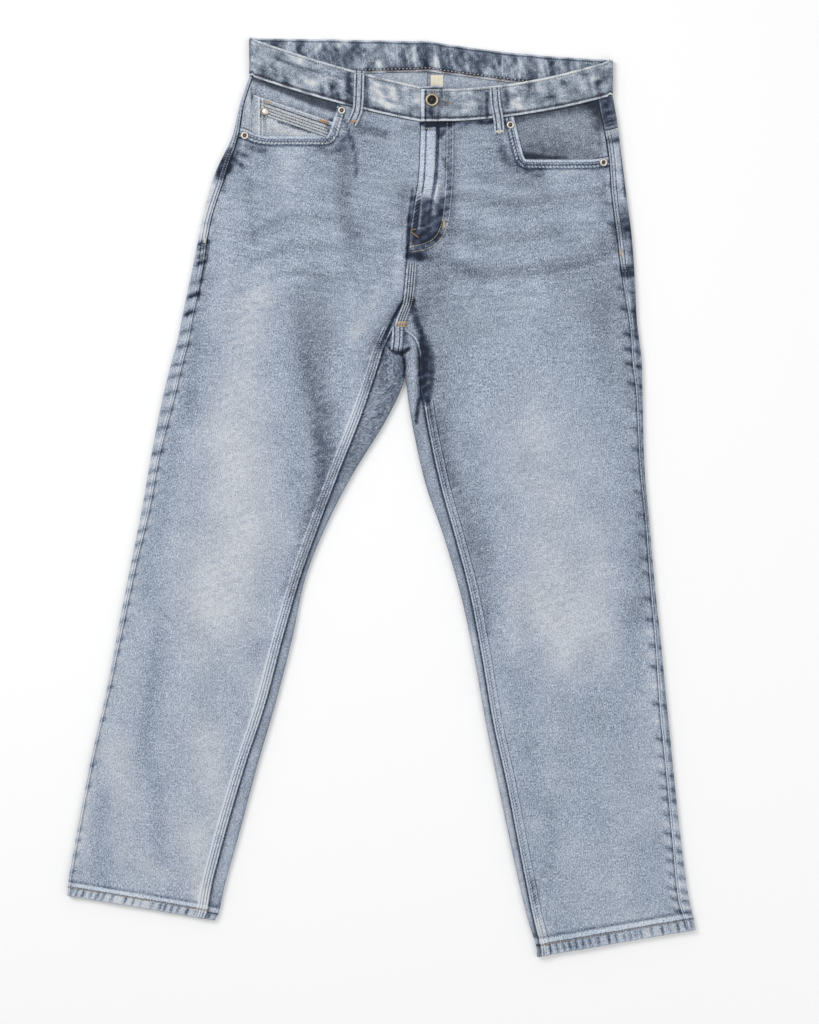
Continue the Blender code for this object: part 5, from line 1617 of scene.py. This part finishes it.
def band_looks(x, y, run, up, edge, on_top):
    """The waistband's lift and fade: puckers between its stitches, patches, and folds behind."""
    inner = step(edge, 2, 7)
    puffs, fine = waves(run * 0.4, up, 11, 41), waves(run * 0.6, up, 6, 43)
    slanted = 0.22 * waves(run * 0.6 + 0.7 * up, up * 0.4, 15, 47)
    # worn holds the band's wear and its painted shadows beside the belt loops.
    worn, lift = strokes_at(x, y, BAND_WEAR_AND_SHADE)
    groove = 0.35 * bump(edge - 2.9, 0.9) + 0.6 * near(edge, 0, 1.2)
    ahead = lift + 0.22 * puffs + 0.12 * fine + slanted * inner - groove
    behind = 0.45 * (1 + waves(run, up * 0.12, 8.5, 53)) * step(edge, 1, 6) + 0.2 * bump(edge - 2.9, 0.9)
    front = 0.62 + worn + 0.11 * puffs + 0.06 * fine
    front = front - 0.18 * crackle(run * 0.5 + 0.5 * up, up, 26, 49) * inner
    front = front + 0.09 * crackle(run * 0.6 - 0.4 * up, up, 23, 51) * inner
    back = 0.47 + 0.17 * waves(run, up * 0.5, 21, 53) + strokes_at(x, y, INNER_BAND_WEAR)[0]
    back = back + inner * (0.10 * waves(run, up, 11, 59) - 0.16 * crackle(run, up * 0.7, 30, 67)
                           + 0.34 * crackle(run + 0.2 * up, up * 0.12, 26, 69))
    return on_top * ahead + (1 - on_top) * behind * 0.8, mix(back, front, on_top)


def strip(name, line, across, flip=True):
    """A belt loop: a folded strip with two rows of stitches, along a line of points."""
    half = LOOP_WIDTH / 2
    places = np.array([-part for part in reversed(HALF_STRIP)] + [0, *HALF_STRIP]) * half
    across = np.broadcast_to(across, line.shape)
    point = line[:, None, :] + across[:, None, :] * places[None, :, None]
    lengths = run_along(line)
    away = np.abs(places)
    profile = hills(away, LOOP_PROFILE) - 0.6 * near(half - away, 0, 0.9)
    uneven = 1 + 0.25 * waves(lengths[:, None], places[None, :], 9, 61)
    point[..., 2] += profile[None, :] * uneven * (0.8 if flip else -0.25)
    run = np.broadcast_to(lengths[:, None], point.shape[:2])
    spread = np.broadcast_to(places[None, :], point.shape[:2])
    ends = np.minimum(run, lengths[-1] - run)
    shade = 0.64 + 0.05 * waves(run, spread, 8, 63) + 0.08 * near(ends, 0, 1.6) - 0.1 * bump(ends - 3, 1.5)
    fields = {"cloth": xyz(spread, run, 0.0), "fade_and_shade": shade, "edge": xyz(half - np.abs(spread), run, 1.0)}
    return cloth("belt_loop_" + name, point, LOOP_WALL, DENIMS["loop"], True, fields)


# The middle lines of the front loops, in pixels of the photograph, from the band's top edge down.
FRONT_LOOPS = {
    "right": ((359.5, 71.5), (359, 90), (358, 108), (355.5, 116), (351.5, 124)),
    "left": ((494.5, 88), (495.5, 104), (498, 118), (499, 126), (499.5, 134)),
}


def front_loop(side, leg):
    """A loop over the front band, arched, its foot turned back on the leg below the band."""
    line = curved(pixels(FRONT_LOOPS[side]), 1.3)
    run = run_along(line)
    line = np.concatenate((line, np.zeros((len(line), 1))), axis=1)
    part = float(np.interp(line[0, 0], *leg_places(leg)))
    lower, (rise,), _ = front_band(leg, [part])
    panel = leg.top(0.3, np.array(mix(FOLD_RADIUS, leg.width(0), part)))[2]
    over = lower[0, 2] + LAY_GAP + LOOP_WALL
    foot = panel + LAY_GAP + LOOP_WALL + 0.6
    places, heights = zip(
        (0, over + 0.3), (rise * 0.3, over + LOOP_ARCH), (rise * 0.75, over + LOOP_ARCH),
        (rise + 2, over + 0.5), (rise + 6, foot + 0.5), (run[-1] - 5, foot + 0.9), (run[-1], foot - 0.3))
    height = np.interp(run, places, heights)
    line[:, 2] = np.convolve(np.pad(height, 2, mode="edge"), np.ones(5) / 5, mode="valid")
    ahead = headings(line)
    return strip("front_" + side, line, xyz(-ahead[:, 1], ahead[:, 0], 0.0)), line


def leg_places(leg):
    """The x of places along the front band, and the parts of the way across that they are."""
    parts = np.linspace(0, 1, 60)
    places = front_band(leg, parts)[0][:, 0]
    order = np.argsort(places)
    return places[order], parts[order]


def back_loop(name, leg, part):
    lower = leg.under(0.0, np.array(mix(FOLD_RADIUS, leg.under_width(0), part)))
    rise = float(smooth(leg.band_back, part * 2)) * np.linspace(0.02, 0.98, 30)
    line = lower[None, :] + xyz(0.0, SEAM_GAP + rise, 0.0)
    line[:, 2] = 0
    return strip("back_" + name, line, np.array((1.0, 0, 0)), flip=False)


def turned(node, profile, finish, sides=48):
    """A round fitting over a solid: (radius, height, rubbed) turned about its upright axis."""
    low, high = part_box(node)
    x, y, z = (low[0] + high[0]) / 2, (low[1] + high[1]) / 2, low[2]
    vertices, rubbed = [], []
    for radius, height, wear in profile:
        for k in range(sides):
            angle = 2 * math.pi * k / sides
            vertices.append((x + radius * math.cos(angle) * MM, y + radius * math.sin(angle) * MM,
                             z + height * MM))
            rubbed.append(wear)
    faces = [face[:1] + face[:0:-1] for face in tube(0, len(profile), sides)]
    mesh = bpy.data.meshes.new("metal_" + node)
    mesh.from_pydata(vertices, [], faces)
    mesh.attributes.new("rubbed", "FLOAT", "POINT").data.foreach_set("value", rubbed)
    return piece_of("metal_" + node, mesh, (finish,), node=node)


RING = ((0.05, 0.75, .2), (0.7, 0.7, .2), (1.1, 0.25, 0), (1.5, 0.15, 0), (2.0, 0.3, .05),
        (2.3, 0.9, .5), (2.7, 1.45, .9), (3.2, 1.6, 1), (3.8, 1.45, .9), (4.3, 0.95, .6),
        (4.65, 0.4, .3), (4.7, 0.15, .1), (4.6, 0, 0), (0.05, 0, 0))
DOME = ((0.05, 1.6, .9), (1.2, 1.57, .9), (2.3, 1.45, .85), (3.2, 1.2, .7), (3.9, 0.8, .5),
        (4.4, 0.4, .3), (4.65, 0.2, .2), (4.6, 0, 0), (0.05, 0, 0))
CAP = ((0.05, 1.75, .2), (1.6, 1.7, .1), (2.6, 1.5, 0), (3.6, 1.4, 0), (4.4, 1.5, .05), (4.9, 2.2, .35),
       (5.4, 3.1, .8), (5.9, 3.5, 1), (6.4, 3.6, .9), (6.9, 3.35, .7), (7.6, 2.7, .4), (8.05, 2.0, .3),
       (8.2, 1.4, .3), (8.1, 0.9, .2), (7.4, 0.4, .05), (6.4, 0, 0), (0.05, 0, 0))


def fittings():
    for place in ("right_inner", "right_outer", "coin_pocket", "left_inner", "left_outer"):
        turned("rivet_" + place, DOME if place == "coin_pocket" else RING, COPPER)
    turned("button", CAP, BRASS, sides=72)


def size_label():
    """A bare tape that curls up a little at its foot."""
    low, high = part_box("size_label")
    u, v = np.linspace(0, 1, 31)[None, :], np.linspace(0, 1, 35)[:, None]
    x = mix(low[0], high[0], u) / MM + 0 * v
    y = mix(high[1], low[1], v) / MM + 0 * u
    curl = 0.5 * step(v, 0.75, 1) * (0.4 + 0.6 * u) + 0.12 * waves(x, y, 12, 71)
    edge = np.minimum(np.minimum(u, 1 - u) * LABEL_SIZE[0], (1 - v) * LABEL_SIZE[1])
    shade = 0.62 - 0.25 * near(edge, 0, 0.9) + 0.06 * waves(x, y, 9, 73)
    fields = {"cloth": xyz(x - x[0, 0], y - y[0, 0], 0.0), "fade_and_shade": shade}
    point = xyz(x, y, high[2] / MM + curl)
    return cloth("size_label", point, LABEL_WALL, LABEL, True, fields, inside=LABEL)


# ---- sewing ----------------------------------------------------------------------------------
def seam_path(leg, away, first, last, inner=False):
    """A path beside a seam of the front: away is millimetres from it, + onto the front."""
    station = leg.rows_between(first, last, 6.0)
    begin, end = leg.front_span(station)
    return leg.top(station, end - away if inner else begin + away)


def headings(path):
    """The direction of a path at each of its points, on the ground."""
    run = np.gradient(path[:, :2], axis=0)
    return run / length_of(run)[:, None]


def offset(path, away):
    """A path moved sideways: + is to its left."""
    ahead = headings(path)
    return path[:, :2] + np.stack((-ahead[:, 1], ahead[:, 0]), axis=1) * away


KNUCKLE = ((398.5, 327), (398.5, 333), (398, 341), (396.8, 351))
KNUCKLE_SIZE = (15.2, 26)
KNUCKLE_RIBS = ((0.35, 1.6, 1.2), (-0.5, 3.7, 0.6), (0.35, 6.8, 2.0), (-0.4, 9.5, 0.5), (0.35, 11.6, 1.3))


def knuckle(tree):
    """The felled end of the back's rise seam, brought round to the front at the crotch."""
    middle = curved(pixels(KNUCKLE), 0.8)
    ahead = headings(middle)
    across = np.linspace(-1, 1, 37)
    half = KNUCKLE_SIZE[0] / 2
    x = middle[:, :1] + ahead[:, 1:] * across * half
    y = middle[:, 1:] - ahead[:, :1] * across * half
    hits = [laid_on(tree, *place) for place in zip(x.ravel(), y.ravel())]
    base = np.quantile([hit[0].z / MM for hit in hits if hit], 0.8)
    part = np.linspace(0, 1, len(middle))[:, None]
    away = (1 - across)[None, :] * half + 0 * part
    height = base + 1.3 - 1.2 * step(part, 0.86, 1) + hills(away, KNUCKLE_RIBS)
    height = height + 1.6 * np.sqrt(1 - 0.96 * across ** 2) * (1 - 0.5 * step(part, 0.8, 1))
    # Darker towards its foot, where it curls under: painted shade.
    shade = 0.64 + 0.05 * waves(x, y, 6, 91) - 0.3 * step(part, 0.88, 1)
    along = part * KNUCKLE_SIZE[1]
    fields = {"cloth": xyz(away, along, 0.0), "fade_and_shade": shade, "ribs": xyz(away, along, 1.0)}
    return cloth("crotch_seam", xyz(x, y, height), DENIM, DENIMS["knuckle"], False, fields,
                 solid=False)


def band_path(leg, last, up=None, down=None):
    """A path on the front waistband: millimetres up from its lower edge or down from its top."""
    lower, rise, _ = front_band(leg, np.linspace(0.03, last, 80))
    lower[:, 1] += up if up is not None else rise - down
    return lower


LOOP_TACK = np.array((4.6, 0.3))  # from the middle of a bar across a loop to its end


def sew_leg(side, leg, on, threads, seams, loop):
    """One side: outseam, inseam, pocket mouth, hem, waistband, yoke, back pocket and belt loop."""
    worn, cream, tan, rust, brown = (threads[key] for key in ("worn", "cream", "tan", "rust", "brown"))
    front, whole, band, strap = on["front_" + side], on[side], on["waistband"], surface(loop[0])
    for away in (-2.5, -6.0):
        worn.line(whole, seam_path(leg, away, 1.2, 4.8), 3.0, 0.3)
    first = FORK + (0.6 if side == "right" else 2.7)
    for away in INSEAM_ROWS[side]:
        worn.line(front, seam_path(leg, away, first, HEM, inner=True), 3.0, 0.28)
    for away, used in ((6.4, worn), (8.4, cream)):
        used.line(front, offset(mouth_path(leg), -away), 3.4, 0.34, cover=0.6)
    hem = leg.top(HEM, np.linspace(4, leg.width(HEM) - 4, 60)) + np.array((0.0, HEM_DEPTH[side], 0.0))
    tan.line(whole, hem, 3.2, 0.42)
    rust.line(whole, hem[-10:], 3.0, 0.46, cover=0.85)
    tan.line(whole, hem, 3.2, 0.42, below=True)
    last = 0.97 if side == "left" else 1.0
    brown.line(band, band_path(leg, last, up=3.9), 3.4, 0.42, cover=0.62)
    cream.line(band, band_path(leg, last, down=2.7), 3.0, 0.30, cover=0.8)
    back = leg.under(0.0, np.linspace(12, leg.under_width(0), 80))
    for used, up, pitch, radius, cover, through in (
            (rust, 2.0, 3.2, 0.36, 0.86, BAND_WALL), (cream, 4.4, 4.4, 0.42, 0.5, BAND_WALL),
            (tan, 3.2, 3.2, 0.36, 0.72, 0.0)):
        used.line(band, back + np.array((0, up, 0)), pitch, radius, cover, below=True, through=through)
    parts = np.linspace(0.06, 0.97, 60)
    for drop in (0.07, 0.19):
        station = leg.yoke_station(parts) + drop
        tan.line(whole, leg.under(station, parts * leg.under_width(station)), 3.2, 0.36, below=True)
    for path in seams:
        tan.line(on["back_pocket_" + side], path, 3.2, 0.36, below=True)
    foot, top = loop[1][-4, :2], loop[1][2, :2]
    (cream if side == "left" else rust).bartack(strap, foot - LOOP_TACK, foot + LOOP_TACK, 3.0, 0.34)
    worn.bartack(strap, top - LOOP_TACK * (1, 0), top + LOOP_TACK * (1, 0), 1.6, 0.3)


JAY_TURN = 222                    # where the fly's double stitching starts to turn, in the photograph
# Bars of dense stitches, in pixels of the photograph: thread, cloth, ends, width and radius.
BARS = (
    ("rust", "front_left", 409.6,231, 418.5,237.5, 1.2, .3),
    ("rust", "front_left", 409.6,230.5, 416,229, 1.2, .3),
    ("tan", "front_left", 444,219, 443.6,228, 2.6, .34),
    ("tan", "front_left", 395.5,327.4, 407,326.8, 2.4, .34),
    ("rust", "front_left", 396,325.2, 407.5,324.6, 2.2, .34),
    ("tan", "front_left", 397,322.8, 408.5,322.4, 2.4, .34),
    ("tan", "left", 621,249, 621,256.5, 2.6, .34), ("cream", "right", 205,238, 204.6,243, 2.4, .3),
    ("tan", "coin_pocket", 264.5,100.5, 272,102.8, 2.8, .34),
    ("rust", "coin_pocket", 319.5,119.6, 327.5,122.8, 3.2, .34),
)
# Short lines of stitches: thread, cloth, pitch, radius, cover, and the path in the photograph.
LINES = (
    ("cream", "front_left", 2.6, .4, .72, 421,128.4, 428,128.8, 436,128),
    ("rust", "front_left", 1.6, .34, .72, 412,240, 411.6,248),
    ("rust", "waistband", 1.5, .36, .9, 439.5,99.6, 445,101.6, 450.4,103.6, 445,105.8, 439.5,107.8),
    ("cream", "left", 2.4, .42, .72, 607,122, 618.5,119),
    ("cream", "left", 2.4, .42, .72, 606,125.5, 618.5,122.5),
    ("tan", "left", 2.4, .42, .72, 606,129, 618.5,126),
    ("tan", "left", 2.4, .42, .72, 606.5,132.5, 618.5,129.5),
    ("tan", "left", 2.4, .42, .72, 607.5,136, 618.5,133),
    ("cream", "coin_pocket", 2.8, .42, .72, 260.5,117, 260.5,134),
    ("cream", "coin_pocket", 2.8, .42, .72, 264.5,117, 264.5,134),
)


def sew(pieces, seams, loops, coin_edge):
    """All the threads, on the finished cloth."""
    threads = {key: Thread("thread_" + key, finish) for key, finish in THREADS.items()}
    cream, tan, brown, worn = (threads[key] for key in ("cream", "tan", "brown", "worn"))
    on = {name: surface(piece) for name, piece in pieces.items()}
    for side, leg in LEGS.items():
        on[side] = surface(pieces["front_" + side], pieces["back_" + side])
        sew_leg(side, leg, on, threads, seams[side], loops[side])
    centre = LEFT.rows_between(1.6, 7.4, 4.0)
    for away in (3.0, 8.5):
        path = LEFT.under(centre, LEFT.under_width(centre) - away)
        tan.line(on["left"], path, 3.2, 0.36, below=True)
    rise = LEFT.rows_between(4.32, 6.0, 2.0)
    end = LEFT.front_span(rise)[1] + edge_shift("left", rise)
    for away in RISE_ROWS:
        cream.line(on["front_left"], LEFT.top(rise, end - away), 2.6, 0.40, cover=0.5)
    jay = curved(pixels(JAY), 3.0)
    upper = jay[:, 1] > (ORIGIN_Y - JAY_TURN) * PIXEL
    for away in (-3.3, 3.3):
        path = offset(jay, away)
        worn.line(on["front_left"], path[upper], 3.4, 0.32, cover=0.6)
        tan.line(on["front_left"], path[~upper], 3.0, 0.38, cover=0.75)
    for key, where, *ends, width, radius in BARS:
        threads[key].bartack(on[where], *pixels(pairs(ends)), width, radius)
    for key, where, pitch, radius, cover, *path in LINES:
        threads[key].line(on[where], pixels(pairs(path)), pitch, radius, cover)
    for row in COIN_ROWS:
        cream.line(on["coin_pocket"], offset(coin_edge, -row)[9:-9], 2.7, 0.72, cover=0.62)
    brown.line(on["coin_pocket"], offset(coin_edge, -5.1)[10:-6], 3.4, 0.36, cover=0.6)
    for piece in threads.values():
        piece.make()


# ---- everything ------------------------------------------------------------------------------
FLOOR_HALF, FLOOR_LEVEL = 3.0, -0.0004         # metres, just under the stitches of the hidden back
# Soft lights: name, place and size in metres, and power in watts.
LIGHTS = (("key", (-1.5, 1.3, 2.4), 1.4, 42), ("fill", (1.8, -0.6, 2.6), 2.2, 22))
SKY = 0.62
LENS, SENSOR = 85, 36
VIEW_CENTRE, VIEW_HEIGHT = (0.0328, -0.017, 0.008), 1.198      # what the camera looks down on, in metres


def studio():
    """A plain pale floor, two lights, a white sky and the camera straight above."""
    floor = bpy.data.meshes.new("floor")
    corners = ((-1, -1), (1, -1), (1, 1), (-1, 1))
    floor.from_pydata([(FLOOR_HALF * x, FLOOR_HALF * y, FLOOR_LEVEL) for x, y in corners], [], [(0, 1, 2, 3)])
    shader = Shader("plain_floor")
    shader.plug(shader.surface, {"Base Color": (0.92, 0.92, 0.92, 1), "Roughness": 0.9})
    floor.materials.append(shader.material)
    in_scene("floor", floor)
    for name, place, size, power in LIGHTS:
        light = bpy.data.lights.new(name, "AREA")
        light.energy, light.size = power, size
        lamp = in_scene(name, light)
        lamp.location = place
        lamp.rotation_euler = (-Vector(place)).to_track_quat("-Z", "Y").to_euler()
    scene = bpy.context.scene
    scene.world = bpy.data.worlds.new("studio")
    scene.world.use_nodes = True
    sky = scene.world.node_tree.nodes["Background"].inputs
    sky["Color"].default_value, sky["Strength"].default_value = (1, 1, 1, 1), SKY
    scene.view_settings.view_transform = "Standard"
    camera = bpy.data.cameras.new("camera")
    camera.lens, camera.sensor_width = LENS, SENSOR
    scene.camera = in_scene("camera", camera)
    x, y, z = VIEW_CENTRE
    scene.camera.location = (x, y, z + VIEW_HEIGHT * LENS / SENSOR)


def dress():
    pieces, seams = {}, {}
    for side, leg in LEGS.items():
        pieces["front_" + side] = front_panel(side, leg)
        pieces["facing_" + side], columns = facing(side, leg)
        if side == "right":
            pieces["coin_pocket"], coin_edge = coin_pocket(leg, columns)
        pieces["back_" + side] = back_panel(side, leg)
        pieces["yoke_" + side] = yoke(side, leg)
        pieces["back_pocket_" + side], seams[side] = back_pocket(side, leg)
    pieces["waistband"] = waistband()
    loops = {side: front_loop(side, leg) for side, leg in LEGS.items()}
    back_loops = [back_loop("right", RIGHT, BACK_LOOP_PLACE), back_loop("centre", RIGHT, 1.0),
                  back_loop("left", LEFT, BACK_LOOP_PLACE)]
    fittings()
    pieces["size_label"] = size_label()
    crotch = surface(*(pieces[key] for key in ("front_right", "back_right", "back_left")))
    pieces["crotch_seam"] = knuckle(crotch)
    sew(pieces, seams, loops, coin_edge)


studio()
dress()
